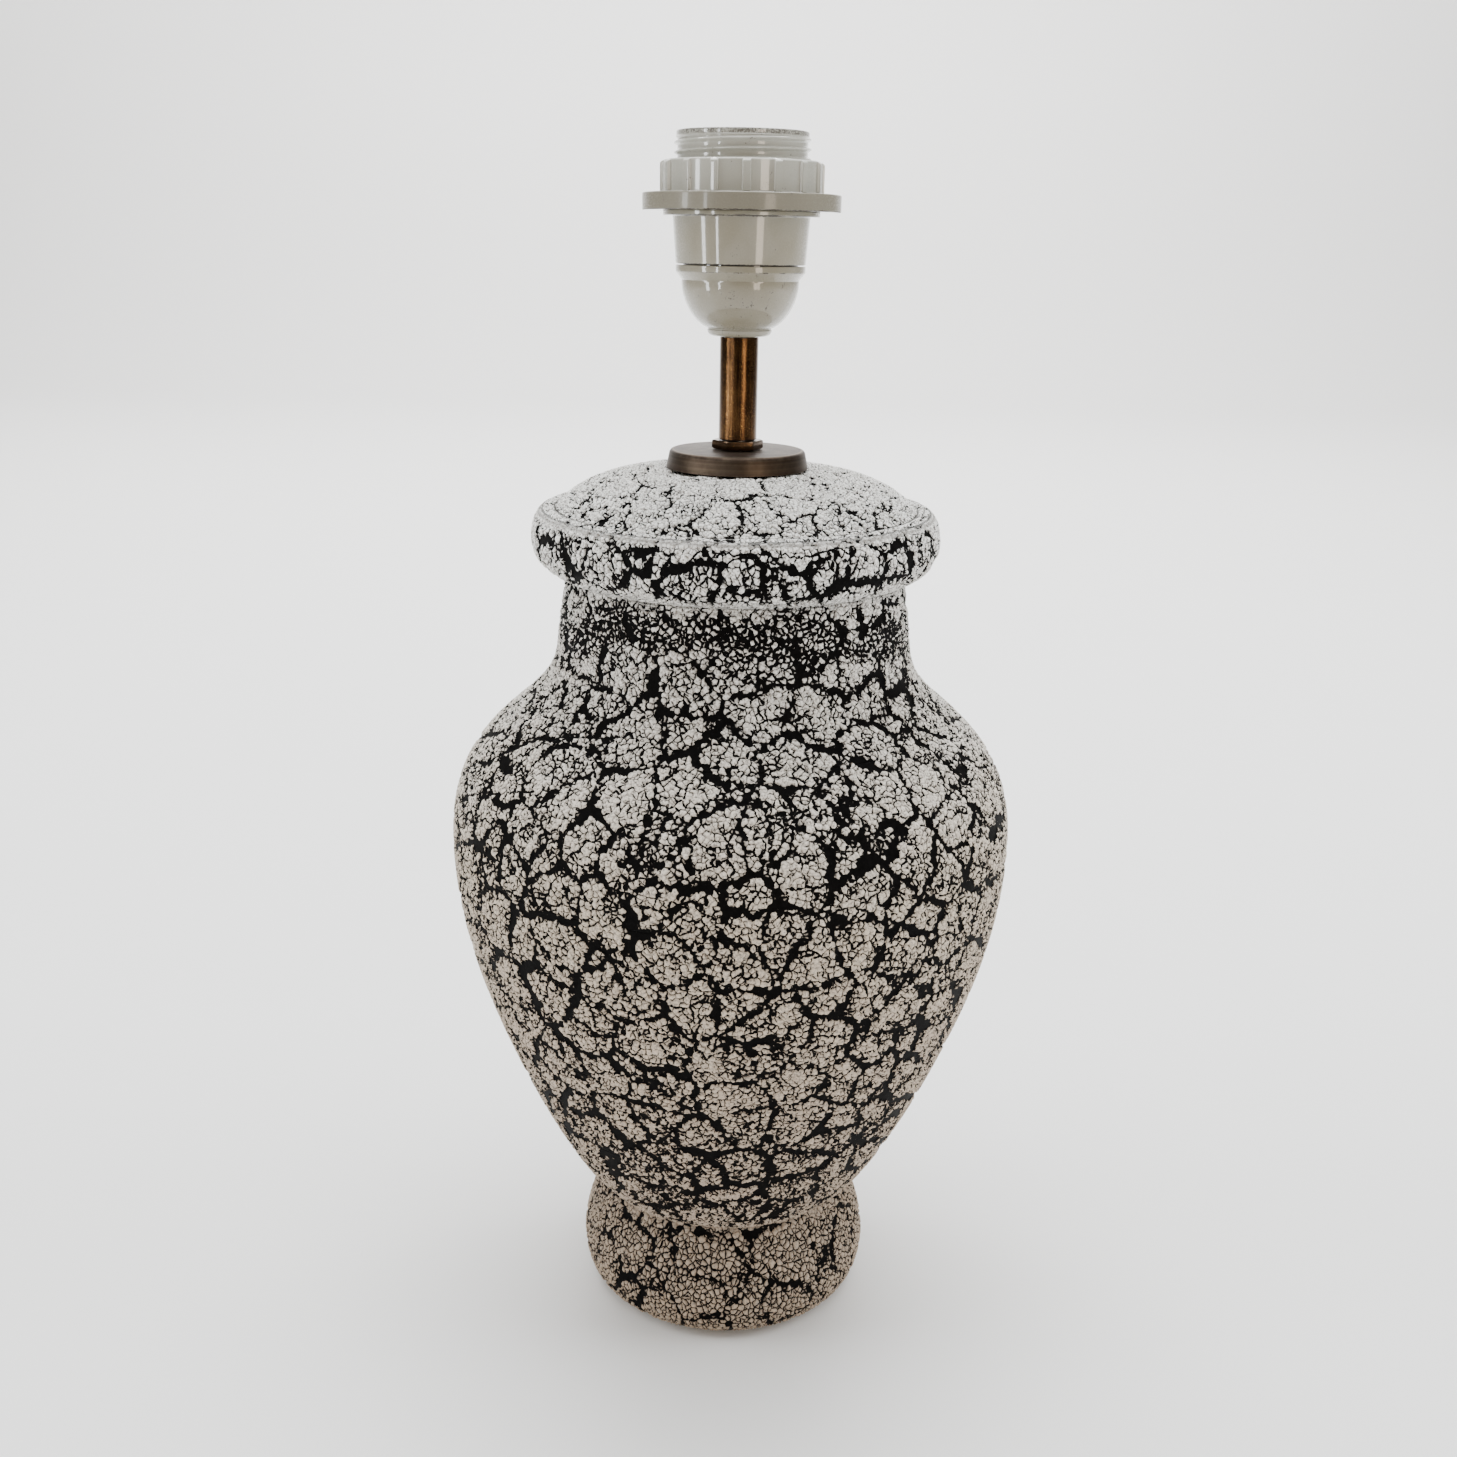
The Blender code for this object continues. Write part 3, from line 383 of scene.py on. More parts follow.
def grown(obj, name, material):
    """The object's mesh with all its modifiers applied, as a new plain object."""
    graph = bpy.context.evaluated_depsgraph_get()
    mesh = bpy.data.meshes.new_from_object(obj.evaluated_get(graph))
    made = mesh_object(name, mesh, material)
    bpy.data.objects.remove(obj)
    return made


def turned(name, loop, steps, attributes=None):
    """A closed loop of (radius, height) points turned about the lamp's axis by a Screw modifier.

    The loop runs up its outer side. Attributes are values for its points, which the turn copies.
    """
    loop = np.array(loop, float)[::-1]
    count = len(loop)
    mesh = bpy.data.meshes.new(name)
    mesh.from_pydata(
        np.c_[loop[:, 0], np.zeros(count), loop[:, 1]].tolist(),
        [(i, (i + 1) % count) for i in range(count)],
        [],
    )
    for label, values in (attributes or {}).items():
        layer = mesh.attributes.new(label, "FLOAT", "POINT")
        layer.data.foreach_set("value", np.array(values, np.float32)[::-1])
    made = bpy.data.objects.new(name, mesh)
    bpy.context.scene.collection.objects.link(made)
    screw = made.modifiers.new("turn", "SCREW")
    screw.steps = steps
    screw.render_steps = steps
    return made


def straight_bar(sides, radius, length):
    """A bar with this many sides along Z, with its middle at the origin, as a cutting shape."""
    shape = bmesh.new()
    bmesh.ops.create_cone(
        shape, cap_ends=True, segments=sides, radius1=radius, radius2=radius, depth=length
    )
    return shape


def ease_edges(obj, width):
    """Rounds the object's sharp edges over."""
    ease = obj.modifiers.new("edges", "BEVEL")
    ease.width = width
    ease.segments = 2
    ease.limit_method = "ANGLE"


def cut(blank, name, material, shape, place, operation="DIFFERENCE", eased=0):
    """The blank cut by a shape in this place, with its edges eased, as a new plain object."""
    mesh = bpy.data.meshes.new("tool")
    shape.to_mesh(mesh)
    shape.free()
    mesh.transform(place)
    tool = bpy.data.objects.new("tool", mesh)
    bpy.context.scene.collection.objects.link(tool)
    stroke = blank.modifiers.new("cut", "BOOLEAN")
    stroke.operation = operation
    stroke.object = tool
    stroke.solver = "EXACT"
    if eased:
        ease_edges(blank, eased)
    made = grown(blank, name, material)
    bpy.data.objects.remove(tool)
    return made


def cut_away(obj, shape, place):
    """The finished object less a shape in this place. It keeps its name and material."""
    name, material = obj.name, obj.data.materials[0]
    obj.name = f"{name}_blank"
    return cut(obj, name, material, shape, place)


def bored(obj, radius, level, depth):
    """The object with a hole bored into its rear, at this level, as far in as this depth."""
    middle = Matrix.Translation((0, depth + bore_run / 2, level))
    drill = straight_bar(bore_sides, radius, bore_run)
    return cut_away(obj, drill, middle @ Matrix.Rotation(math.pi / 2, 4, "X"))


def vector(kind, first, second=None):
    """The result of a Vector Math node. Output 1 is the one for lengths and products."""
    sockets = {0: first} if second is None else {0: first, 1: second}
    single = kind in ("DOT_PRODUCT", "LENGTH", "DISTANCE")
    return first.node("ShaderNodeVectorMath", sockets, output=int(single), operation=kind)


def settled(place):
    """A place on the vase in millimetres, as the glaze sees it.

    What it draws is steeper on the rim and on the foot, and finer on the dome.
    """
    level = place.part("Z")
    steep = 0.25 * (level.most(249).least(263) - 249)
    steep = steep + 0.15 * (level.least(waist_level) - waist_level)
    grain = 1 + level.step(268.0, 268.4) * 0.25
    sockets = {0: place.part("X") * grain, 1: place.part("Y") * grain, 2: (level - steep) * grain}
    return place.node("ShaderNodeCombineXYZ", sockets)


def wiped(place):
    """1 in the creases over the foot and under the rim, where the wet glaze was wiped along."""
    level = place.part("Z")
    return level.band(waist_level, 3).most(level.band(neck_crease_level, 3.5))


def finer(place):
    """1 on the body, less where all cracks are finer: on the dome, the foot, one shoulder and in
    the creases. More where they are wider: low on the flank and on both its sides."""
    level = place.part("Z")
    shoulder_patch = vector("DISTANCE", place, (54, -53, 190)).step(22, 8)
    creases = (wiped(place) * 0.65).most(level.band(267.2, 2.2) * 0.85)
    dome_or_foot = (level.step(259, 277) * 0.5).most(level.step(waist_level, 36) * 0.35)
    sides = place.math("ABSOLUTE", place.part("X")).step(20, 60) * level.step(212, 190)
    wider = (sides * 0.12).most(level.step(120, 75) * 0.45) * level.step(waist_level, 46)
    return 1 + wider - dome_or_foot.most(shoulder_patch * 0.45).most(creases)


def opening(place, lump, usual, extra, closed=0.36, wide=0.5):
    """Half a crack's width along its run: closed in places, mostly usual, and wider in others."""
    swell = place.noise(lump, detail=1)
    opened = swell.step(closed - 0.05, closed + 0.05)
    return opened * (usual + 0.1) + swell.step(wide, wide + 0.17) * extra - 0.1


def cells(place, size, outward):
    """The two cells of this size nearest to a place, by their middles, and how far along the
    surface the place lies from the edge between them."""
    sockets = {"Vector": place, "Scale": 1 / size}
    middle, beyond = (
        place.node("ShaderNodeTexVoronoi", sockets, output=2, feature=near)
        for near in ("F1", "F2")
    )
    across = vector("NORMALIZE", vector("SUBTRACT", middle, beyond))
    halfway = vector("ADD", middle, beyond).stretched((0.5, 0.5, 0.5))
    edge = vector("DOT_PRODUCT", vector("SUBTRACT", place, halfway), across)
    upright = vector("DOT_PRODUCT", across, outward)
    return middle, beyond, edge / ((1 - upright * upright).most(0.12) ** 0.5)


def bareness(place):
    """1 on the ragged dark band round the neck, where little glaze stuck."""
    level = place.part("Z")
    tilt = (place.part("X") * 0.045 + 0.6).math("COSINE", place.part("X") * 0.045 + 0.6)
    bare_level = bare_band_level + 4 * tilt + (place.noise(16) - 0.5) * 24
    return level.math("ABSOLUTE", level - bare_level).step(9, 2)


def crackle(place, outward):
    """How far a place lies inside its plate of glaze, past the wide crack round it, how far inside
    its crumb, past the smaller cracks, and how far from the crumb's middle.

    Each plate is a cluster of rounded crumbs. The crack between two crumbs is thin, or small or
    medium where the two belong to different lumps of glaze. Widths are measured along the surface.
    """
    here = settled(place)
    bare = bareness(place)
    shaken = here.moved(here.noise(1.3, detail=1, output=1), 1.0)
    middle, beyond, edge = cells(shaken, crumb_size, outward)
    away = vector("SUBTRACT", shaken, middle)
    rise = vector("DOT_PRODUCT", away, outward)
    reach = (vector("DOT_PRODUCT", away, away) - rise * rise).most(0) ** 0.5
    roundness = crumb_size * 0.5 - reach

    def parted(size):
        """1 where the two crumbs belong to different lumps of this size."""
        lumps = [
            place.node("ShaderNodeTexVoronoi", {"Vector": crumb, "Scale": 1 / size}, output=2)
            for crumb in (middle, beyond)
        ]
        return vector("DISTANCE", *lumps).step(0.001, 0.01)

    thin = opening(here, 1.8, 0.09, 0.07, 0.49, 0.57)
    small = parted(small_lump) * (opening(here, 4, 0.17, 0.15, 0.45) + 0.1) - 0.1
    medium = parted(medium_lump) * (opening(here, 8, 0.39, 0.30, 0.37) + 0.1) - 0.1
    pebbly = place.part("Z").step(waist_level, 34) * 0.26 - 0.1
    width = (thin.most(small).most(medium) + 0.1) * finer(place) - 0.1
    width = width.most(pebbly)
    crumb = edge + (roundness + 0.35).least(0) * 0.25 - width - bare * 0.4

    core = shaken.moved(away, -core_pull)
    bent = core.moved(core.noise(plate_bend, detail=2, output=1), 8)
    plate = cells(bent, plate_size, outward)[2]
    plate = plate - opening(here, 12, 0.77, 0.69, 0.20, 0.45) * finer(place) + bare * 0.5
    return plate + roundness.least(0.3) * lobe_depth, crumb, reach


def new_tree(name, *sizes):
    """A Geometry Nodes tree that reshapes a piece, and wires from its inputs.

    The inputs are the piece, these sizes and the material.
    """
    tree = bpy.data.node_groups.new(name, "GeometryNodeTree")
    kinds = {"Piece": "Geometry", **{size: "Float" for size in sizes}, "Material": "Material"}
    for label, kind in kinds.items():
        tree.interface.new_socket(label, in_out="INPUT", socket_type=f"NodeSocket{kind}")
    tree.interface.new_socket("Piece", in_out="OUTPUT", socket_type="NodeSocketGeometry")
    entry = tree.nodes.new("NodeGroupInput")
    return tree, *(Wire(tree, entry.outputs[i]) for i in range(len(kinds)))


def end_tree(piece, direction, distance, material):
    """Moves the piece's points by this distance in this direction and gives it its material."""
    sockets = {0: direction, "Scale": distance}
    offset = piece.node("ShaderNodeVectorMath", sockets, operation="SCALE")
    moved = piece.node("GeometryNodeSetPosition", {"Geometry": piece, "Offset": offset})
    whole = piece.node("GeometryNodeRealizeInstances", {"Geometry": moved})
    dressed = piece.node("GeometryNodeSetMaterial", {"Geometry": whole, "Material": material})
    leave = piece.tree.nodes.new("NodeGroupOutput")
    piece.tree.links.new(dressed.socket, leave.inputs[0])


def reshape(blank, tree, *values):
    """Puts a tree on a blank, with values for its sizes and its material."""
    modifier = blank.modifiers.new(tree.name, "NODES")
    modifier.node_group = tree
    inputs = [item for item in tree.interface.items_tree if item.in_out == "INPUT"]
    for item, value in zip(inputs[1:], values):
        modifier[item.identifier] = value


def point_value(wire, label):
    """A value that the outline's points carry into the tree."""
    return wire.node("GeometryNodeInputNamedAttribute", {"Name": label}, data_type="FLOAT")


def away_from_axis(place):
    """The level direction from the lamp's axis to a place."""
    return vector("NORMALIZE", place.stretched((1, 1, 0)))


# The tree that raises the glaze plates. It keeps each point's place before it moved, and which
# way the surface faces there.
glaze_tree, vase_input, relief_input, glaze_input = new_tree("raised_glaze", "Relief")
wire = Wire(glaze_tree)
place = wire.node("GeometryNodeInputPosition")
share = point_value(wire, "relief_share")
lean = point_value(wire, "lean")
around = away_from_axis(place)
level = lean.math("COSINE", lean)
outward = wire.node(
    "ShaderNodeCombineXYZ",
    {0: around.part("X") * level, 1: around.part("Y") * level, 2: lean.math("SINE", lean)},
)
mapped = place.stretched((1000, 1000, 1000))
plate, crumb, reach = crackle(mapped, outward)
kept = vase_input
for label, value in {"unglazed_place": mapped, "outward": outward}.items():
    sockets = {"Geometry": kept, "Name": label, "Value": value}
    kept = wire.node("GeometryNodeStoreNamedAttribute", sockets, data_type="FLOAT_VECTOR")
sunk = 1 - plate.step(-0.1, 0.7) * (0.25 + 0.75 * crumb.step(-0.2, 0.4))
end_tree(kept, outward, -1 * sunk * share * relief_input, glaze_input)

# The glaze itself: dry off-white plates, warmer and browner lower down, over the dark ground. The
# standing face and the inside are bare fired clay.
glaze, glaze_shader, wire = new_finish("crackle_glaze")
glaze_shader.inputs["Specular IOR Level"].default_value = 0.02
place, outward = (
    wire.node("ShaderNodeAttribute", output=1, attribute_type="GEOMETRY", attribute_name=label)
    for label in ("unglazed_place", "outward")
)
plate, crumb, reach = crackle(place, outward)
height = place.part("Z")
mottle = place.noise(0.6, detail=3, roughness=0.6)
ragged = (mottle - 0.5) * 0.3
wipe = place.stretched((0.07, 0.07, 1.6)).noise(1, detail=3, roughness=0.6).band(0.5, 0.035)
cover = (plate + ragged).step(-0.08, 0.1) * (crumb + ragged).step(-0.06, 0.06)
cover = cover * (1 - wipe * wiped(place) * 0.85)
patches = place.noise(30, detail=2)
tint = height.node(
    "ShaderNodeValToRGB",
    {0: height / 280 + (patches - 0.5) * 0.16},
    stops=[
        (0.00, (0.48, 0.370, 0.272)),
        (0.16, (0.51, 0.405, 0.31)),
        (0.40, (0.60, 0.49, 0.385)),
        (0.58, (0.71, 0.61, 0.49)),
        (0.74, (0.82, 0.775, 0.705)),
        (0.93, (0.98, 0.975, 0.945)),
    ],
)
speck = (mottle - 0.5) * 2 + 0.5
plate_colour = speck.step(0.1, 0.65).mix(colour(0.27, 0.245, 0.215), tint)
# Painted shade: the plates and crumbs are painted darker towards their edges, where the valleys
# between them lie in shade.
edge_shade = 0.35 + 0.25 * plate.step(0.0, 0.5) + 0.4 * crumb.step(0.0, 0.35)
plate_colour = edge_shade.mix(colour(0.10, 0.088, 0.075), plate_colour)
# Painted shadow: a thin darker line painted round the crease between the rim and the dome.
valley_shadow = height.band(valley_shadow_level, 0.8) * 0.65
plate_colour = valley_shadow.mix(plate_colour, colour(0.16, 0.15, 0.135))
ground = place.noise(1.5, detail=2).mix(colour(0.001, 0.001, 0.001), colour(0.006, 0.0055, 0.0055))
surface = cover * (0.5 + 0.25 * crumb.step(0.0, 0.5) + 0.25 * reach.step(1.1, 0)) + mottle * 0.2
inside = wire.node(
    "ShaderNodeAttribute", output=2, attribute_type="GEOMETRY", attribute_name="inside"
)
unglazed = inside.step(0.02, 0.1)
clay = patches.step(0.35, 0.65).mix(colour(0.30, 0.245, 0.19), colour(0.40, 0.335, 0.265))
feed(
    glaze_shader,
    Base_Color=unglazed.mix(cover.mix(ground, plate_colour), clay),
    Roughness=0.6 + 0.25 * cover,
    Normal=relief(wire, surface * (1 - unglazed) + mottle * unglazed * 0.15, 0.0006, 0.9),
)


def read(items, label, kind, width=1):
    """One value of each of a mesh's items, as an array."""
    values = np.empty(len(items) * width, kind)
    items.foreach_get(label, values)
    return values


def glaze_map(ring, runs, circumference):
    """Lays the ring's surface out flat as strips, one above the other, for its own image."""
    mesh = ring.data
    places = read(mesh.vertices, "co", np.float32, 3)
    angles = np.arctan2(places[1::3], places[0::3])
    heights = read(mesh.attributes["run"].data, "value", np.float32)
    corners = read(mesh.loops, "vertex_index", np.int32)
    sides = read(mesh.polygons, "loop_total", np.int32)
    starts = read(mesh.polygons, "loop_start", np.int32)
    face = np.repeat(np.arange(len(sides)), sides)
    first = corners[starts][face]
    turn = angles[corners] - angles[first]
    turn = (turn + math.pi) % math.tau - math.pi
    middle = np.add.reduceat(turn, starts) / sides + angles[corners[starts]]
    strips = max(1, round(math.sqrt(circumference / runs)))
    strip = np.floor((middle % math.tau) / math.tau * strips).clip(0, strips - 1)
    width = math.tau / strips
    from_middle = angles[first] + turn - (strip[face] + 0.5) * width
    across = ((from_middle + math.pi) % math.tau - math.pi) / width
    up = heights[corners]
    lowest = np.minimum.reduceat(up, starts)[face]
    highest = np.maximum.reduceat(up, starts)[face]
    up = np.where((highest - lowest > runs / 2) & (up < runs / 4), up + runs, up) / runs
    layer = mesh.uv_layers.new(name="OFBake")
    both = np.empty(len(corners) * 2, np.float32)
    both[0::2] = 0.5 + across * 0.98
    both[1::2] = (strip[face] + 0.01 + up * 0.97) / strips
    layer.uv.foreach_set("vector", both)


foot_line = outline(foot_base, foot_bulge, waist)
body_line = outline(waist, flank, belly, shoulder, neck, crease)
rim_line = outline(crease, rim, valley)
dome_line = outline(valley, seat)
ceiling = seat[1] - vase_wall
inside_line = np.r_[
    [(foot_mouth_radius, 0)],
    inset(np.r_[foot_line, body_line[1:]]),
    inset(dome_line),
    [(seat[0], ceiling), (stem_hole_radius, ceiling)],
]
top_line = np.r_[dome_line, [(stem_hole_radius, seat[1])]]
half_flank = (0, flank[1] / 2 + waist[1] / 2)

vase_rings = {
    "vase_foot": ("ceramic_foot", foot_line, 0, waist[1], "end"),
    "vase_lower_flank": ("ceramic_flank", body_line, waist[1], half_flank[1], "start"),
    "vase_upper_flank": ("ceramic_flank", body_line, half_flank[1], flank[1], ""),
    "vase_belly": ("ceramic_belly", body_line, flank[1], belly[1], ""),
    "vase_shoulder": ("ceramic_shoulder", body_line, belly[1], shoulder[1], ""),
    "vase_neck": ("ceramic_neck", body_line, shoulder[1], crease[1], "end"),
    "vase_rim": ("ceramic_dome", rim_line, crease[1], valley[1], "start end"),
    "vase_dome": ("ceramic_dome", top_line, valley[1], seat[1], "start"),
}
vase_level = node_places["ceramic_foot"][0].z
cord_level = vase_level + foot_bulge[1]

for name, (node, line, bottom, top, faded) in vase_rings.items():
    first = np.argmin(np.abs(line[:, 1] - bottom)) if bottom > line[0, 1] else 0
    last = np.argmin(np.abs(line[:, 1] - top)) if top < line[-1, 1] else len(line) - 1
    outside = line[first : last + 1]
    low, high = outside[0, 1], outside[-1, 1]
    levels = inside_line[:, 1]
    inside = list(inside_line[(levels > low) & (levels < high)][::-1])
    if name != "vase_dome":
        inside.insert(0, (np.interp(high, levels, inside_line[:, 0]), high))
    inside.append((np.interp(low, levels, inside_line[:, 0]), low))
    loop = np.r_[outside, inside]
    length = row_length * np.arange(len(outside))
    relief_share = np.ones(len(outside))
    if "start" in faded:
        relief_share = np.minimum(relief_share, length / crease_fade)
    if "end" in faded:
        relief_share = np.minimum(relief_share, length[::-1] / crease_fade)
    if name == "vase_dome":
        relief_share[-1] = 0
    steps = np.linalg.norm(np.diff(loop, axis=0, append=loop[:1]), axis=1)
    steps[len(outside) :] *= hidden_map_share
    run = np.cumsum(steps) - steps
    hidden = np.zeros(len(inside))
    blank = turned(
        f"{name}_blank",
        loop + [0, vase_level],
        vase_steps,
        {
            "relief_share": np.r_[relief_share, hidden],
            "lean": np.r_[leaning(line)[first : last + 1], hidden],
            "inside": np.r_[np.zeros(len(outside)), hidden + 1],
            "run": run,
        },
    )
    reshape(blank, glaze_tree, glaze_relief, glaze)
    ring = grown(blank, name, glaze)
    if name == "vase_foot":
        ring = bored(ring, cord_hole_radius, cord_level, foot_bulge[0] - 2 * vase_wall)
    ring.data.shade_smooth()
    glaze_map(ring, steps.sum(), math.tau * outside[:, 0].mean())
    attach(ring, "base")
    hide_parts(node)

# Felt ring
# A ring die-cut from black wool felt, glued under the foot so that the lamp stands softly.
felt_radius = 0.04125
felt_bore = 0.03425
felt_thickness = 0.0012
felt_edge = 0.0003
wide_steps = 240


def rounded(corners, count=6):
    """A loop through corners of radius, height and rounding. Those without one stay sharp."""
    loop = []
    befores = corners[-1:] + corners[:-1]
    afters = corners[1:] + corners[:1]
    for before, here, after in zip(befores, corners, afters):
        corner = Vector(here[:2])
        if len(here) < 3:
            loop.append(tuple(corner))
            continue
        start = corner + (Vector(before[:2]) - corner).normalized() * here[2]
        end = corner + (Vector(after[:2]) - corner).normalized() * here[2]
        for share in np.linspace(0, 1, count):
            loop.append(tuple(start.lerp(corner, share).lerp(corner.lerp(end, share), share)))
    return loop


def spun(name, level, corners, steps, material):
    """A piece turned from rounded corners, whose heights count from this level."""
    loop = np.array(rounded(corners)) + [0, level]
    return grown(turned(f"{name}_blank", loop, steps), name, material)


def fitted(obj, node, body="base", sharpest=35):
    """Shades a finished piece, sets it on its body and lets it stand for its CAD node."""
    obj.data.shade_smooth()
    obj.data.set_sharp_from_angle(angle=math.radians(sharpest))
    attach(obj, body)
    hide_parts(node)
    return obj


felt, felt_shader, wire = new_finish("black_felt", roughness=0.95)
felt_shader.inputs["Sheen Weight"].default_value = 0.3
place = object_place(wire)
fibres = place.noise(0.35, detail=4, roughness=0.7)
felt_colour = fibres.step(0.3, 0.7).mix(colour(0.008, 0.008, 0.008), colour(0.05, 0.048, 0.046))
lint = place.noise(1.2, detail=3, roughness=0.7).step(0.66, 0.72)
feed(
    felt_shader,
    Base_Color=lint.mix(felt_colour, colour(0.12, 0.115, 0.105)),
    Normal=relief(wire, fibres, 0.0003, 0.8),
)

felt_corners = [
    (felt_bore, 0, felt_edge),
    (felt_radius, 0, felt_edge),
    (felt_radius, felt_thickness, felt_edge),
    (felt_bore, felt_thickness, felt_edge),
]
fitted(spun("felt_under_foot", 0, felt_corners, wide_steps, felt), "felt_ring")

# Cord grommet
# A black rubber bush pressed into the hole low in the rear of the foot, where a mains cord would
# come out. Its flange keeps the ceramic's edge off the cord.
cord_bore = 0.0035
grommet_radius = 0.0050
grommet_flange_radius = 0.0064
grommet_flange = 0.0012
small_steps = 96

rubber, rubber_shader, wire = new_finish("black_rubber", roughness=0.6)
place = object_place(wire)
dust = place.noise(2.2, detail=3, roughness=0.65)
feed(
    rubber_shader,
    Base_Color=dust.step(0.45, 0.8).mix(colour(0.012, 0.012, 0.012), colour(0.06, 0.058, 0.054)),
    Roughness=0.45 + 0.35 * dust,
    Normal=relief(wire, place.noise(0.6, detail=2), 0.00004, 0.6),
)

grommet_low, grommet_high = node_places["cord_grommet"]
grommet_length = grommet_high.y - grommet_low.y
grommet = spun(
    "grommet_in_cord_hole",
    0,
    [
        (cord_bore, 0, 0.0004),
        (grommet_radius, 0, 0.0004),
        (grommet_radius, grommet_length - grommet_flange),
        (grommet_flange_radius, grommet_length - grommet_flange, 0.0003),
        (grommet_flange_radius, grommet_length, 0.0005),
        (cord_bore, grommet_length, 0.0005),
    ],
    small_steps,
    rubber,
)
grommet.data.transform(
    Matrix.Translation((0, grommet_low.y, cord_level)) @ Matrix.Rotation(-math.pi / 2, 4, "X")
)
fitted(grommet, "cord_grommet")

# Gasket, washers and nut inside the vase
# A rubber gasket spreads the load on the ceramic under the dome. A steel washer, a split lock
# washer and a hexagon nut on the rod clamp the whole stem to it.
rod_hole_radius = 0.0053
gasket_radius = 0.0145
washer_radius = 0.0135
lock_washer_radius = 0.0086
lock_washer_slit = 0.0012
inner_nut_flats = 0.0170
nut_chamfer = 0.00028
nut_edge = 0.00015
slit_reach = 0.003
slit_lean = 20
inner_nut_turn = 11
washer_steps = 128

steel, steel_shader, wire = new_finish("zinc_plated_steel", roughness=0.35, metallic=1.0)
place = object_place(wire)
stain = place.noise(4, detail=3, roughness=0.6)
grain = place.noise(0.4, detail=2)
steel_colour = stain.step(0.35, 0.7).mix(colour(0.36, 0.355, 0.33), colour(0.58, 0.585, 0.58))
feed(
    steel_shader,
    Base_Color=steel_colour,
    Roughness=0.25 + 0.3 * stain,
    Normal=relief(wire, grain, 0.00003, 0.5),
)


def thickness(node):
    return node_places[node][1].z - node_places[node][0].z


def plain_ring(name, node, radius, bore, rounding, steps, material):
    """A ring with rounded edges in the place of its CAD node: washers, gaskets and sleeves."""
    height = thickness(node)
    corners = [(bore, 0), (radius, 0), (radius, height), (bore, height)]
    corners = [(*corner, rounding) for corner in corners]
    return spun(name, node_places[node][0].z, corners, steps, material)


def hexagon_nut(name, node, flats, turn, material):
    """A nut from a turned blank with chamfered ends, cut to six flats and its edges eased."""
    height = thickness(node)
    level = node_places[node][0].z
    corner_radius = flats / math.sqrt(3)
    face_radius = corner_radius - 2 * nut_chamfer
    blank = [
        (rod_hole_radius, 0),
        (face_radius, 0),
        (corner_radius, nut_chamfer),
        (corner_radius, height - nut_chamfer),
        (face_radius, height),
        (rod_hole_radius, height),
    ]
    nut = turned(f"{name}_blank", np.array(blank) + [0, level], small_steps)
    middle = Matrix.Translation((0, 0, level + height / 2))
    flats_place = middle @ Matrix.Rotation(math.radians(30 + turn), 4, "Z")
    six_flats = straight_bar(6, corner_radius, 3 * height)
    nut = cut(nut, name, material, six_flats, flats_place, "INTERSECT", nut_edge)
    return fitted(nut, node, sharpest=25)


def slit(obj, low, high, turn=Matrix.Identity(4)):
    """The object with a straight slit cut in it, as a box between two corners."""
    box = bmesh.new()
    bmesh.ops.create_cube(box, size=1)
    size = Vector(high) - Vector(low)
    middle = (Vector(high) + Vector(low)) / 2
    place = Matrix.Translation(middle) @ turn @ Matrix.Diagonal((*size, 1))
    return cut_away(obj, box, place)


ring = plain_ring(
    "gasket", "inner_gasket", gasket_radius, rod_hole_radius, 0.0005, washer_steps, rubber
)
fitted(ring, "inner_gasket")
ring = plain_ring(
    "washer", "inner_washer", washer_radius, rod_hole_radius, 0.0002, washer_steps, steel
)
fitted(ring, "inner_washer")
hexagon_nut(
    "nut_inside", "inner_nut", inner_nut_flats, inner_nut_turn, steel
)

split = plain_ring(
    "lock_washer",
    "inner_lock_washer",
    lock_washer_radius,
    rod_hole_radius,
    0.00015,
    small_steps,
    steel,
)
lock_middle = (node_places["inner_lock_washer"][0] + node_places["inner_lock_washer"][1]) / 2
split = slit(
    split,
    (-lock_washer_slit / 2, -1.1 * lock_washer_radius, lock_middle.z - slit_reach),
    (lock_washer_slit / 2, 0.1 * lock_washer_radius, lock_middle.z + slit_reach),
    Matrix.Rotation(math.radians(slit_lean), 4, "Y"),
)
fitted(split, "inner_lock_washer")

# Threaded rod
# A hollow steel rod with a rolled thread along its whole length. It runs from the nut inside the
# vase to the bush in the lampholder, and the wires go up through it.
rod_radius = 0.0050
rod_bore = 0.0034
rod_pitch = 0.0010
rod_thread_depth = 0.0005
rod_row = 0.00016
rod_steps = 60

# The tree that cuts a right-hand thread. A point's share says how much of the depth it takes.
thread_tree, body_input, pitch, depth, crest, groove, skin = new_tree(
    "thread", "Pitch", "Depth", "Crest Level", "Groove"
)
wire = Wire(thread_tree)
place = wire.node("GeometryNodeInputPosition")
angle = wire.math("ARCTAN2", place.part("Y"), place.part("X"))
turn = (place.part("Z") - crest) / pitch - angle / math.tau
wave = wire.math("ABSOLUTE", 2 * wire.math("FRACT", turn) - 1)
sunk = 1 - wave.step(groove, 0.97)
share = point_value(wire, "thread_share")
end_tree(body_input, away_from_axis(place), -1 * sunk * share * depth, skin)


def divided(loop, longest, low, high):
    """The loop with points added, so that no step between these levels is longer than this."""
    points = []
    for start, end in zip(loop, loop[1:] + loop[:1]):
        length = math.dist(start, end)
        inside = low <= start[1] <= high and low <= end[1] <= high
        count = math.ceil(length / longest) if inside else 1
        across, up = end[0] - start[0], end[1] - start[1]
        for i in range(count):
            points.append((start[0] + across * i / count, start[1] + up * i / count))
    return np.array(points)


def thinned(loop, bore, kept):
    """The loop with only one in so many of the points of its bore, which carries no thread."""
    on_bore = loop[:, 0] <= bore + 1e-5
    return loop[~on_bore | (np.arange(len(loop)) % kept == 0)]


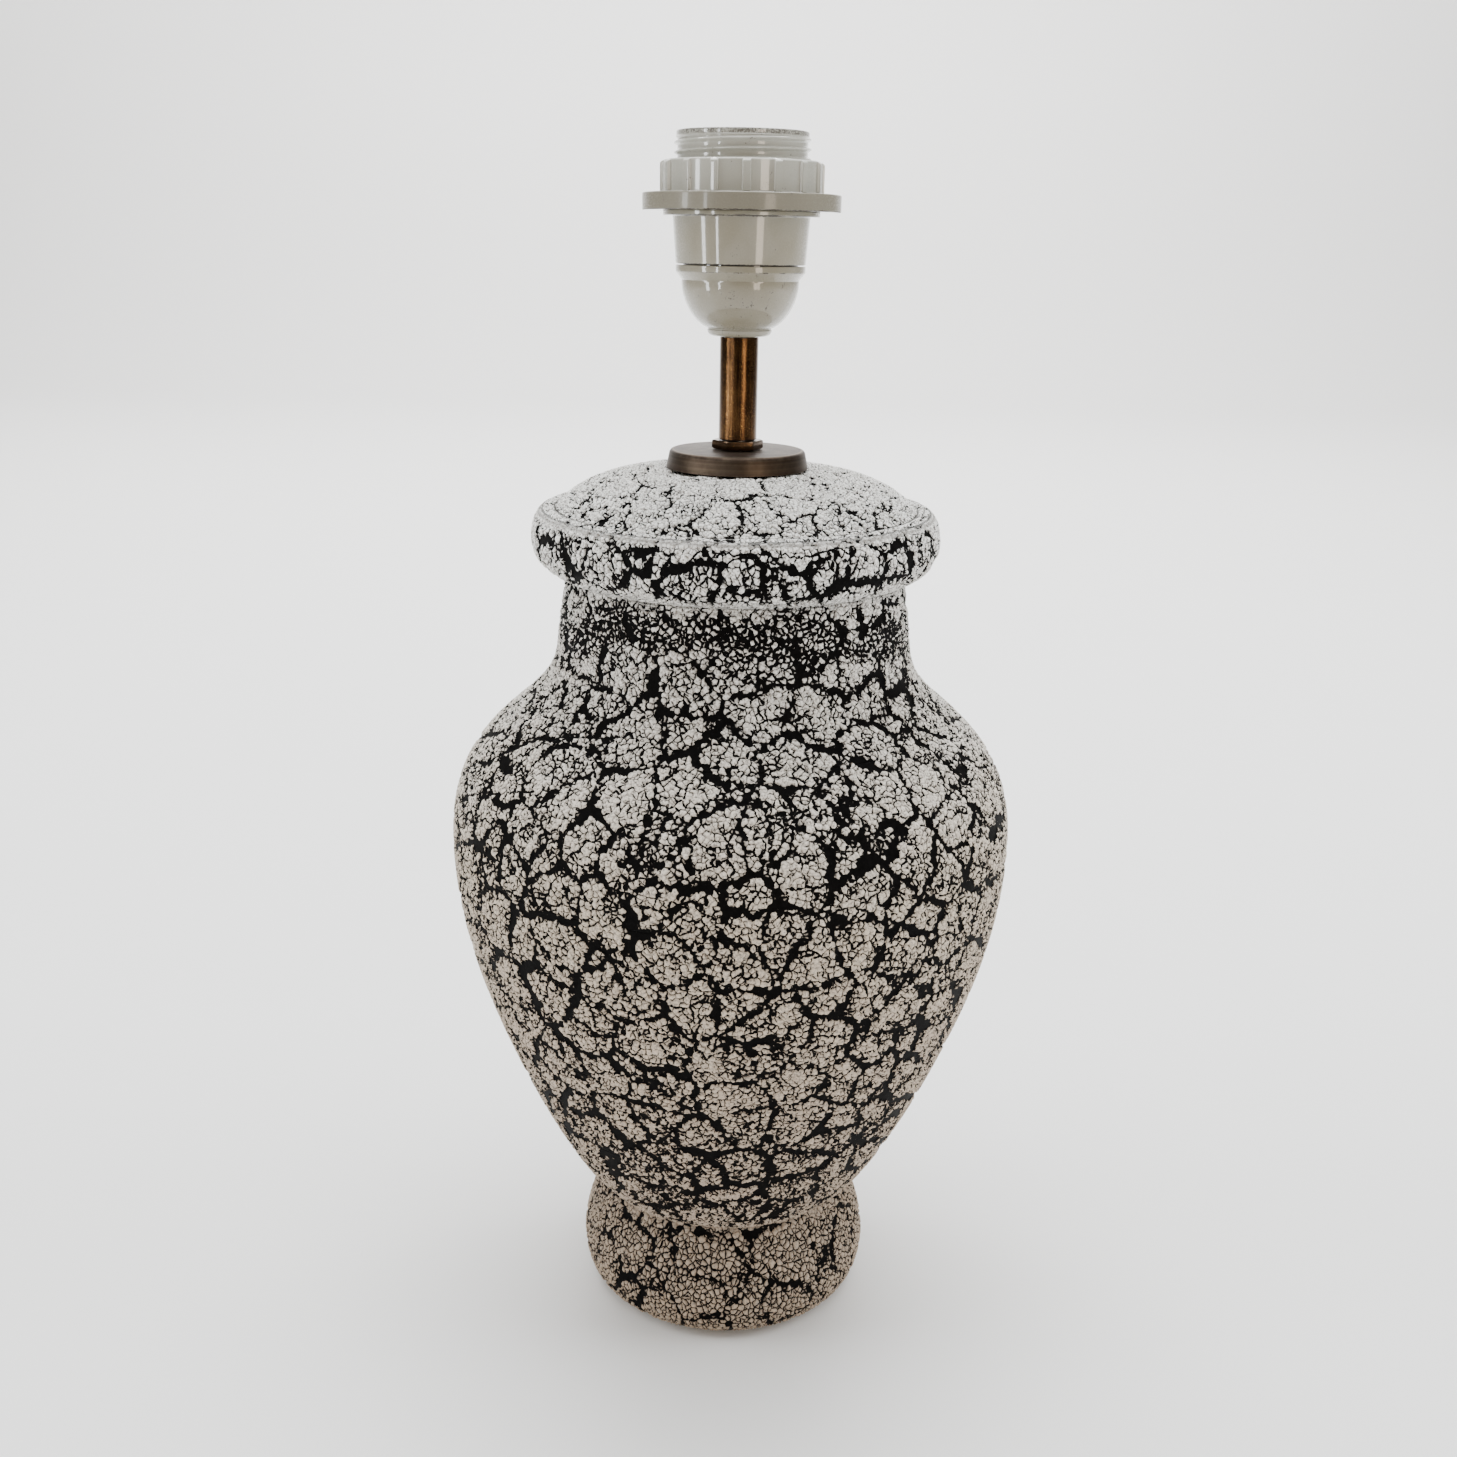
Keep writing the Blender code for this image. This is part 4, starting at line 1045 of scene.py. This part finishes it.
def threaded(name, loop, steps, shares, sizes, material):
    """A turned piece with a thread where its points' shares say."""
    blank = turned(f"{name}_blank", loop, steps, {"thread_share": shares})
    reshape(blank, thread_tree, *sizes, material)
    return grown(blank, name, material)


rod_low = node_places["threaded_rod"][0].z
rod_high = node_places["threaded_rod"][1].z
loop = rounded(
    [
        (rod_bore, rod_low, 0.0002),
        (rod_radius, rod_low, 0.0005),
        (rod_radius, rod_high, 0.0005),
        (rod_bore, rod_high, 0.0002),
    ]
)
loop = divided(loop, rod_row, rod_low, rod_high)
loop = thinned(loop, rod_bore, 12)
shares = (loop[:, 0] > rod_radius - 0.0003) * 1.0
rod_thread = (rod_pitch, rod_thread_depth, 0, 0.0)
rod = threaded("hollow_rod", loop, rod_steps, shares, rod_thread, steel)
fitted(rod, "threaded_rod", sharpest=60)

# Cap on the vase
# A shallow cup spun from brass sheet and bronzed to a satin brown. It covers the hole in the dome.
cap_base_radius = 0.0216
cap_top_radius = 0.0205
cap_sheet = 0.0010
cap_edge_round = 0.0012
cap_inner_round = 0.0006


def axis_distance(place):
    """How far a place lies from the lamp's axis."""
    return (place.part("X") * place.part("X") + place.part("Y") * place.part("Y")) ** 0.5


bronze, bronze_shader, wire = new_finish("bronzed_brass", metallic=1.0)
place = object_place(wire)
radius = axis_distance(place)
spin_place = wire.node("ShaderNodeCombineXYZ", {0: radius, 2: place.part("Z")})
spin_lines = spin_place.noise(0.35, detail=3)
cloud = place.noise(5, detail=3, roughness=0.6)
speck = place.noise(0.5, detail=3, roughness=0.7)
bronze_colour = (cloud * 0.6 + spin_lines * 0.4).step(0.36, 0.64).mix(
    colour(0.044, 0.031, 0.023), colour(0.110, 0.083, 0.064)
)
# The cup's side shows more of the spinning lines, and it is painted a little darker than its top
# as painted shade.
shaded_side_colour = (spin_lines * 0.5 + cloud * 0.5).step(0.25, 0.75).mix(
    colour(0.044, 0.031, 0.022), colour(0.096, 0.072, 0.052)
)
bronze_colour = place.part("Z").step(284.3, 285.4).mix(shaded_side_colour, bronze_colour)
# Worn specks of lighter brass, and a painted highlight round the rounded edge of the top.
specks_and_edge_highlight = (speck * 0.5 + radius.band(19.6, 0.8) * 0.38).step(0.42, 0.72)
feed(
    bronze_shader,
    Base_Color=specks_and_edge_highlight.mix(bronze_colour, colour(0.25, 0.20, 0.155)),
    Roughness=0.36 + 0.22 * speck,
    Normal=relief(wire, spin_lines * 0.6 + speck * 0.6, 0.00005, 0.6),
)

cap_height = thickness("vase_cap")
cap = spun(
    "cap_on_vase",
    node_places["vase_cap"][0].z,
    [
        (cap_base_radius - cap_sheet, 0),
        (cap_base_radius, 0, 0.0003),
        (cap_top_radius, cap_height, cap_edge_round),
        (rod_hole_radius, cap_height),
        (rod_hole_radius, cap_height - cap_sheet),
        (cap_top_radius - cap_sheet, cap_height - cap_sheet, cap_inner_round),
    ],
    wide_steps,
    bronze,
)
fitted(cap, "vase_cap")

# Nut on the cap
# A thin hexagon nut of dark aged brass that holds the cap down on the dome.
cap_nut_flats = 0.0135
cap_nut_turn = 5

brass, brass_shader, wire = new_finish("aged_brass", metallic=1.0)
place = object_place(wire)
drawn = place.stretched((1, 1, 0.05)).noise(0.7, detail=3, roughness=0.6)
speck = place.noise(0.32, detail=3, roughness=0.7)
age = place.noise(7, detail=3, roughness=0.6)
brass_colour = (drawn * 0.55 + age * 0.45).step(0.36, 0.66).mix(
    colour(0.026, 0.012, 0.006), colour(0.095, 0.047, 0.018)
)
brass_colour = place.part("Z").step(288.9, 289.1).mix(colour(0.085, 0.050, 0.028), brass_colour)
feed(
    brass_shader,
    Base_Color=speck.step(0.57, 0.70).mix(brass_colour, colour(0.25, 0.14, 0.050)),
    Roughness=0.10 + 0.16 * speck,
    Normal=relief(wire, drawn * 0.5 + speck, 0.00005, 0.6),
)
hexagon_nut("nut_on_cap", "cap_nut", cap_nut_flats, cap_nut_turn, brass)

# Stem tube
# A short length of drawn brass tube, aged dark, slipped over the rod as a spacer between the nut
# and the lampholder.
tube_radius = 0.00575
tube_edge = 0.00012
tube_steps = 160

tube = plain_ring(
    "tube", "stem_tube", tube_radius, rod_hole_radius, tube_edge, tube_steps, brass
)
fitted(tube, "stem_tube")

# Lampholder dome
# The lower shell of the lampholder, a thin moulding lacquered white with the rest. Its bowl runs
# down to a ring on the stem, and a bead at its top meets the skirt, which screws over its spigot.
neck_ring_radius = 0.0097
neck_ring_height = 0.0022
bowl_radius = 0.0174
bowl_top = 0.0160
dome_wall = 0.0020
bead_radius = 0.01915
bead_bottom = 0.0183
joint_height = 0.0202
spigot_radius = 0.0170
spigot_bore = 0.0152
spigot_top = 0.0275
boss_bore = 0.0068
boss_radius = 0.0092
boss_top = 0.0092
set_screw_radius = 0.0015
set_screw_rise = 0.0056
seat_gap = 0.0003
dome_steps = 256

# Heights in millimetres of the lacquer's edges, from the bead up: where it is chipped, where its
# tone changes at the flange's top, where a highlight is painted on the ring's top, and where the
# thread's rim is gritty.
bead_edge = 337.8
skirt_edge = 340.0
collar_edge = 353.35
flange_low_edge = 354.8
flange_high_edge = 359.2
shade_ring_top = 368.4
thread_rim_level = 374.9

lacquer, lacquer_shader, wire = new_finish("white_lacquer")
lacquer_shader.inputs["Coat Roughness"].default_value = 0.03
lacquer_shader.inputs["Specular IOR Level"].default_value = 0.15
place = object_place(wire)
level = place.part("Z")
radius = axis_distance(place)
wobble = place.noise(2.4, detail=2)
fine = place.noise(0.45, detail=3, roughness=0.65)
yellowing = place.noise(14, detail=2)
lacquer_colour = yellowing.step(0.35, 0.65).mix(
    colour(0.245, 0.222, 0.162), colour(0.28, 0.262, 0.205)
)
lacquer_colour = level.step(flange_high_edge, 360.0).mix(lacquer_colour, colour(0.39, 0.385, 0.34))
flange_edge = radius.step(28.3, 28.7) * level.step(359.6, flange_high_edge)
lacquer_colour = flange_edge.mix(lacquer_colour, colour(0.20, 0.185, 0.145))
# Painted highlights: the ribs' flanks and the ring's top edge are painted lighter.
rib_flanks = radius.band(23.45, 0.5) * level.step(360.0, 360.4)
lit_edges = rib_flanks.most(level.band(shade_ring_top, 0.5))
lacquer_colour = lit_edges.mix(lacquer_colour, colour(0.66, 0.66, 0.61))
edges = (
    level.band(collar_edge, 0.45) * 0.9
    + level.band(flange_low_edge, 0.35) * radius.step(28, 28.7) * 0.8
    + level.band(skirt_edge, 0.35) * 0.75
    + level.band(bead_edge, 0.3) * 0.5
)
chips = (edges * 0.3 + fine * 0.55 + place.noise(3.5, detail=2) * 0.5).step(0.67, 0.71)
scratch = place.stretched((1, 1, 0.4)).noise(1.1, detail=4, roughness=0.75).step(0.635, 0.66)
scratch = scratch * level.step(341, 334)
grit = level.step(thread_rim_level, 375.4) * (fine * 0.8 + wobble * 0.2).step(0.43, 0.54)
# Painted shadow: the spigot is painted dark where it shows through the gap under the skirt.
joint_gap_shadow = level.band(339.75, 0.2) * radius.step(18.4, 18.0)
# Chips, scratches and grit are wear; the joint's dark line among them is painted shadow.
wear_and_joint_shadow = chips.most(scratch * 0.8).most(grit * 0.8).most(joint_gap_shadow)
feed(
    lacquer_shader,
    Base_Color=wear_and_joint_shadow.mix(lacquer_colour, colour(0.055, 0.047, 0.038)),
    Coat_Weight=1 - 0.75 * flange_edge,
    Roughness=0.22 + 0.5 * wear_and_joint_shadow + 0.1 * fine,
    Normal=relief(wire, wobble * 0.5 + fine * 0.1 - 0.6 * wear_and_joint_shadow + grit * fine, 0.00018, 0.5),
)

handle_shares[(bowl_radius, bowl_top)] = (0.45, 0.08, 1.00, 0.50)
holder_level = node_places["holder_dome"][0].z
bowl_line = outline(
    (neck_ring_radius - 0.0001, neck_ring_height + 0.0001), (bowl_radius, bowl_top)
)
inner_bowl = bowl_line[2:-1:3] - [dome_wall, 0] + [0, dome_wall / 2]
inner_bowl = inner_bowl[(inner_bowl[:, 0] > boss_radius) & (inner_bowl[:, 1] < bowl_top)]
loop = rounded(
    [
        (rod_hole_radius, 0, 0.0003),
        (neck_ring_radius - 0.0002, 0, 0.0018),
        (neck_ring_radius, neck_ring_height - 0.0002, 0.0003),
    ]
)
loop += [tuple(point) for point in bowl_line]
loop += rounded(
    [
        (bowl_radius, bowl_top),
        (bead_radius, bead_bottom, 0.0003),
        (bead_radius, joint_height, 0.0003),
        (spigot_radius, joint_height),
    ]
)
loop += rounded([(spigot_radius, spigot_top, 0.0003), (spigot_bore, spigot_top, 0.0003)])
loop += [(spigot_bore, bowl_top)]
loop += [tuple(point) for point in inner_bowl[::-1]]
loop += [
    (boss_radius, inner_bowl[0, 1]),
    (boss_radius, boss_top),
    (boss_bore, boss_top),
    (boss_bore, neck_ring_height),
    (rod_hole_radius, neck_ring_height),
]
dome = grown(
    turned("dome_blank", np.array(loop) + [0, holder_level], dome_steps),
    "dome_of_lampholder",
    lacquer,
)
dome = bored(dome, set_screw_radius + seat_gap, holder_level + set_screw_rise, rod_hole_radius / 2)
fitted(dome, "holder_dome")

# Entry bush and set screw
# A brass bush in the dome's boss takes the rod's thread. A slotted steel grub screw in the rear of
# the dome bears on the rod, so that the lampholder can't turn.
set_screw_slot = 0.0006
set_screw_slot_depth = 0.0008
set_screw_tip = 0.0006
set_screw_pitch = 0.0005
set_screw_thread_depth = 0.00025
set_screw_row = 0.00008
set_screw_steps = 40
axis_gap = 0.00001

contact_metal, contact_shader, wire = new_finish("contact_brass", metallic=1.0)
place = object_place(wire)
dull = place.noise(3, detail=3, roughness=0.6)
pitted = place.noise(0.4, detail=3, roughness=0.7)
feed(
    contact_shader,
    Base_Color=dull.step(0.35, 0.7).mix(colour(0.30, 0.20, 0.085), colour(0.62, 0.44, 0.20)),
    Roughness=0.22 + 0.3 * dull,
    Normal=relief(wire, pitted, 0.00003, 0.5),
)


def dressed(finish, *nodes):
    """CAD nodes that keep their own shape get a better finish."""
    for node in nodes:
        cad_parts[node].material_slots[0].material = finish


dressed(contact_metal, "entry_bush")

screw_low, screw_high = node_places["set_screw"]
screw_length = screw_high.y - screw_low.y
loop = rounded(
    [
        (axis_gap, 0),
        (set_screw_radius - set_screw_tip, 0),
        (set_screw_radius, set_screw_tip),
        (set_screw_radius, screw_length, 0.0002),
        (axis_gap, screw_length),
    ]
)
loop = divided(loop, set_screw_row, 0, screw_length)
shares = ((loop[:, 0] > set_screw_radius - 0.0001) & (loop[:, 1] < screw_length - 0.0004)) * 1.0
screw_thread = (set_screw_pitch, set_screw_thread_depth, 0, 0.0)
screw = threaded("grub_screw", loop, set_screw_steps, shares, screw_thread, steel)
screw = slit(
    screw,
    (-set_screw_slot / 2, -2 * set_screw_radius, screw_length - set_screw_slot_depth),
    (set_screw_slot / 2, 2 * set_screw_radius, 2 * screw_length),
)
screw.data.transform(
    Matrix.Translation((0, screw_low.y, holder_level + set_screw_rise))
    @ Matrix.Rotation(-math.pi / 2, 4, "X")
)
fitted(screw, "set_screw")

# Insert with its terminals
# A disc of white electrical porcelain lies on the dome's spigot and carries the contacts on top.
# The two brass terminals are riveted underneath it, each with a clamp screw for its wire.
porcelain, porcelain_shader, wire = new_finish("insert_porcelain", roughness=0.25, coat=0.3)
place = object_place(wire)
soot = place.noise(3, detail=4, roughness=0.65)
grains = place.noise(0.5, detail=2)
feed(
    porcelain_shader,
    Base_Color=soot.step(0.35, 0.75).mix(colour(0.66, 0.64, 0.59), colour(0.45, 0.43, 0.38)),
    Roughness=0.2 + 0.3 * soot,
    Normal=relief(wire, grains, 0.00003, 0.5),
)
dressed(porcelain, "insert_base")
dressed(contact_metal, "terminal_live", "terminal_neutral", "rivet_live", "rivet_neutral")
dressed(steel, "terminal_screw_live", "terminal_screw_neutral")

# Screw shell
# The threaded cup that takes the lamp, pressed and rolled from thin brass sheet. Its floor has a
# round opening for the centre contact, and a rivet holds it to the insert.
shell_bore = 0.0133
shell_sheet = 0.0005
shell_floor_bore = 0.0086
shell_pitch = 0.0036
shell_thread_depth = 0.0009
shell_row = 0.00035
shell_steps = 160
shell_rivet_place = 0.0106
shell_rivet_half = 0.0008

shell_low = node_places["screw_shell"][0].z
shell_high = node_places["screw_shell"][1].z
shell_radius = shell_bore + shell_sheet
loop = rounded(
    [
        (shell_floor_bore, shell_low, 0.0001),
        (shell_radius, shell_low, 0.0012),
        (shell_radius, shell_high, 0.0002),
        (shell_bore, shell_high, 0.0002),
        (shell_bore, shell_low + shell_sheet, 0.0007),
        (shell_floor_bore, shell_low + shell_sheet, 0.0001),
    ]
)
loop = divided(loop, shell_row, shell_low + shell_sheet, shell_high)
ends = np.minimum(loop[:, 1] - shell_low - 0.002, shell_high - 0.0012 - loop[:, 1]) / 0.0015
shares = np.clip(ends, 0, 1) * (loop[:, 0] > shell_bore - 0.0001)
shell_thread = (shell_pitch, shell_thread_depth, 0, 0.0)
shell = threaded("rolled_shell", loop, shell_steps, shares, shell_thread, contact_metal)
shell = slit(
    shell,
    (shell_rivet_place - shell_rivet_half, -shell_rivet_half, shell_low - 0.001),
    (shell_rivet_place + shell_rivet_half, shell_rivet_half, shell_low + 0.002),
)
fitted(shell, "screw_shell", sharpest=50)

# Centre contact
# A leaf of spring brass, riveted at its heel. It rises over the middle of the insert, where the
# lamp's cap presses it down, and its tip curls back.
leaf_thickness = 0.0005
leaf_width = 0.0050
leaf_heel = 0.0015
leaf_reach = 0.0064
leaf_rise = 0.0034
leaf_tip = 0.0026
leaf_edge = 0.00012

leaf_middle = node_places["centre_contact"][0].z + leaf_thickness / 2
line = [
    (-leaf_reach - leaf_heel, 0),
    (-leaf_reach, 0),
    (-leaf_reach * 0.82, 0.0001),
    (-leaf_reach * 0.60, leaf_rise * 0.22),
    (-leaf_reach * 0.38, leaf_rise * 0.58),
    (-leaf_reach * 0.18, leaf_rise * 0.90),
    (0, leaf_rise),
    (leaf_tip * 0.5, leaf_rise * 0.93),
    (leaf_tip * 0.97, leaf_rise * 0.73),
]
leaf_curve = bpy.data.curves.new("leaf", "CURVE")
leaf_curve.dimensions = "3D"
spline = leaf_curve.splines.new("NURBS")
spline.points.add(len(line) - 1)
for point, (across, up) in zip(spline.points, line):
    point.co = (across, 0, leaf_middle + up, 1)
spline.use_endpoint_u = True
spline.order_u = 3
spline.resolution_u = 6
guide = bpy.data.objects.new("leaf_guide", leaf_curve)
bpy.context.scene.collection.objects.link(guide)
graph = bpy.context.evaluated_depsgraph_get()
path = [vertex.co.copy() for vertex in guide.evaluated_get(graph).to_mesh().vertices]
bpy.data.objects.remove(guide)
mesh = bpy.data.meshes.new("leaf")
half = leaf_width / 2
corners = [(point.x, side * half, point.z) for point in path for side in (-1, 0, 1)]
faces = [
    (3 * i + j, 3 * i + 3 + j, 3 * i + 4 + j, 3 * i + 1 + j)
    for i in range(len(path) - 1)
    for j in (0, 1)
]
mesh.from_pydata(corners, [], faces)
leaf = bpy.data.objects.new("leaf_blank", mesh)
bpy.context.scene.collection.objects.link(leaf)
thicken = leaf.modifiers.new("sheet", "SOLIDIFY")
thicken.thickness = leaf_thickness * 0.96
thicken.offset = 0
ease_edges(leaf, leaf_edge)
leaf = grown(leaf, "spring_leaf", contact_metal)
fitted(leaf, "centre_contact", body="centre_contact", sharpest=50)

# Lampholder skirt
# The upper shell of the lampholder: a tapered body that screws over the dome's spigot and clamps
# the insert, a collar that a shade rests on, and a coarse thread for the shade ring.
skirt_top_radius = 0.02015
collar_radius = 0.02295
thread_radius = 0.0199
thread_rim_radius = 0.0192
skirt_bore = 0.0174
clamp_rib_radius = 0.0156
holder_pitch = 0.0027
holder_thread_depth = 0.0010
holder_crest = 0.37185
holder_groove = 0.35
body_rise = 0.0134
collar_thickness = 0.0014
clamp_rib_thickness = 0.0018
skirt_row = 0.00022
skirt_steps = 288

skirt_low = node_places["holder_skirt"][0].z
skirt_high = node_places["holder_skirt"][1].z
collar_bottom = skirt_low + body_rise
collar_top = collar_bottom + collar_thickness
rib_bottom = node_places["insert_base"][1].z + seat_gap
rib_top = rib_bottom + clamp_rib_thickness
loop = rounded(
    [
        (spigot_radius + seat_gap, skirt_low, 0.0003),
        (bead_radius, skirt_low, 0.0003),
        (skirt_top_radius, collar_bottom, 0.0004),
        (collar_radius, collar_bottom, 0.0003),
        (collar_radius, collar_top, 0.0003),
        (thread_radius, collar_top, 0.0002),
        (thread_radius, skirt_high - 0.0022, 0.0003),
        (thread_rim_radius, skirt_high - 0.0015, 0.0003),
        (thread_rim_radius, skirt_high, 0.0005),
        (skirt_bore, skirt_high, 0.0006),
        (skirt_bore, rib_top),
        (clamp_rib_radius, rib_top, 0.0003),
        (clamp_rib_radius, rib_bottom, 0.0003),
        (spigot_radius + seat_gap, rib_bottom),
    ]
)
loop = divided(loop, skirt_row, collar_top, skirt_high)
loop = thinned(loop, skirt_bore, 4)
ends = np.minimum(loop[:, 1] - collar_top - 0.0004, skirt_high - 0.0016 - loop[:, 1]) / 0.0008
shares = np.clip(ends, 0, 1) * (loop[:, 0] > thread_radius - 0.0004)
skirt_thread = (holder_pitch, holder_thread_depth, holder_crest, holder_groove)
skirt = threaded("skirt_of_lampholder", loop, skirt_steps, shares, skirt_thread, lacquer)
fitted(skirt, "holder_skirt", sharpest=50)

# Shade ring
# A moulded ring with a wide flange that is screwed down on the shade. Sixteen narrow upright ribs
# round its wall give the fingers a grip.
flange_radius = 0.0290
ring_bore = 0.0202
rim_bore = 0.02325
flange_height = 0.0049
grip_radius = 0.0239
rib_count = 16
rib_width = 0.0024
rib_rise = 0.0010
rib_turn = 2.8
ring_row = 0.0005
ring_steps = 960

# The tree that raises the ribs. A point's share says how much of a rib's rise it takes.
rib_tree, body_input, count, width, rise, first_rib, skin = new_tree(
    "ribs", "Count", "Width", "Rise", "First Rib"
)
wire = Wire(rib_tree)
place = wire.node("GeometryNodeInputPosition")
angle = wire.math("ARCTAN2", place.part("Y"), place.part("X"))
span = math.tau / count
away = wire.math("FRACT", (angle - first_rib) / span + 0.5) - 0.5
reach = wire.math("ABSOLUTE", away * span) * grip_radius
raised = 1 - reach.step(width / 2 - 0.0002, width / 2 + 0.00005)
end_tree(body_input, away_from_axis(place), raised * rise * point_value(wire, "rib_share"), skin)

ring_low = node_places["shade_ring"][0].z
ring_high = node_places["shade_ring"][1].z
flange_top = ring_low + flange_height
panel_radius = grip_radius - rib_rise
loop = rounded(
    [
        (rim_bore, ring_low, 0.0001),
        (flange_radius, ring_low, 0.0004),
        (flange_radius, flange_top, 0.0006),
        (panel_radius, flange_top, 0.0005),
        (panel_radius, ring_high, 0.0005),
        (ring_bore, ring_high, 0.0007),
        (ring_bore, ring_low + seat_gap, 0.0002),
        (rim_bore, ring_low + seat_gap),
    ]
)
loop = divided(loop, ring_row, flange_top + 0.0004, ring_high)
ends = np.minimum(loop[:, 1] - flange_top + 0.0002, ring_high - 0.0002 - loop[:, 1]) / 0.0005
shares = np.clip(ends, 0, 1) * (loop[:, 0] < grip_radius) * (loop[:, 0] > panel_radius - 0.0004)
blank = turned("ring_blank", loop, ring_steps, {"rib_share": shares})
reshape(blank, rib_tree, rib_count, rib_width, rib_rise, math.radians(rib_turn - 90), lacquer)
ring = grown(blank, "ring_for_shade", lacquer)
fitted(ring, "shade_ring", body="shade_ring", sharpest=50)

low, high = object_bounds()
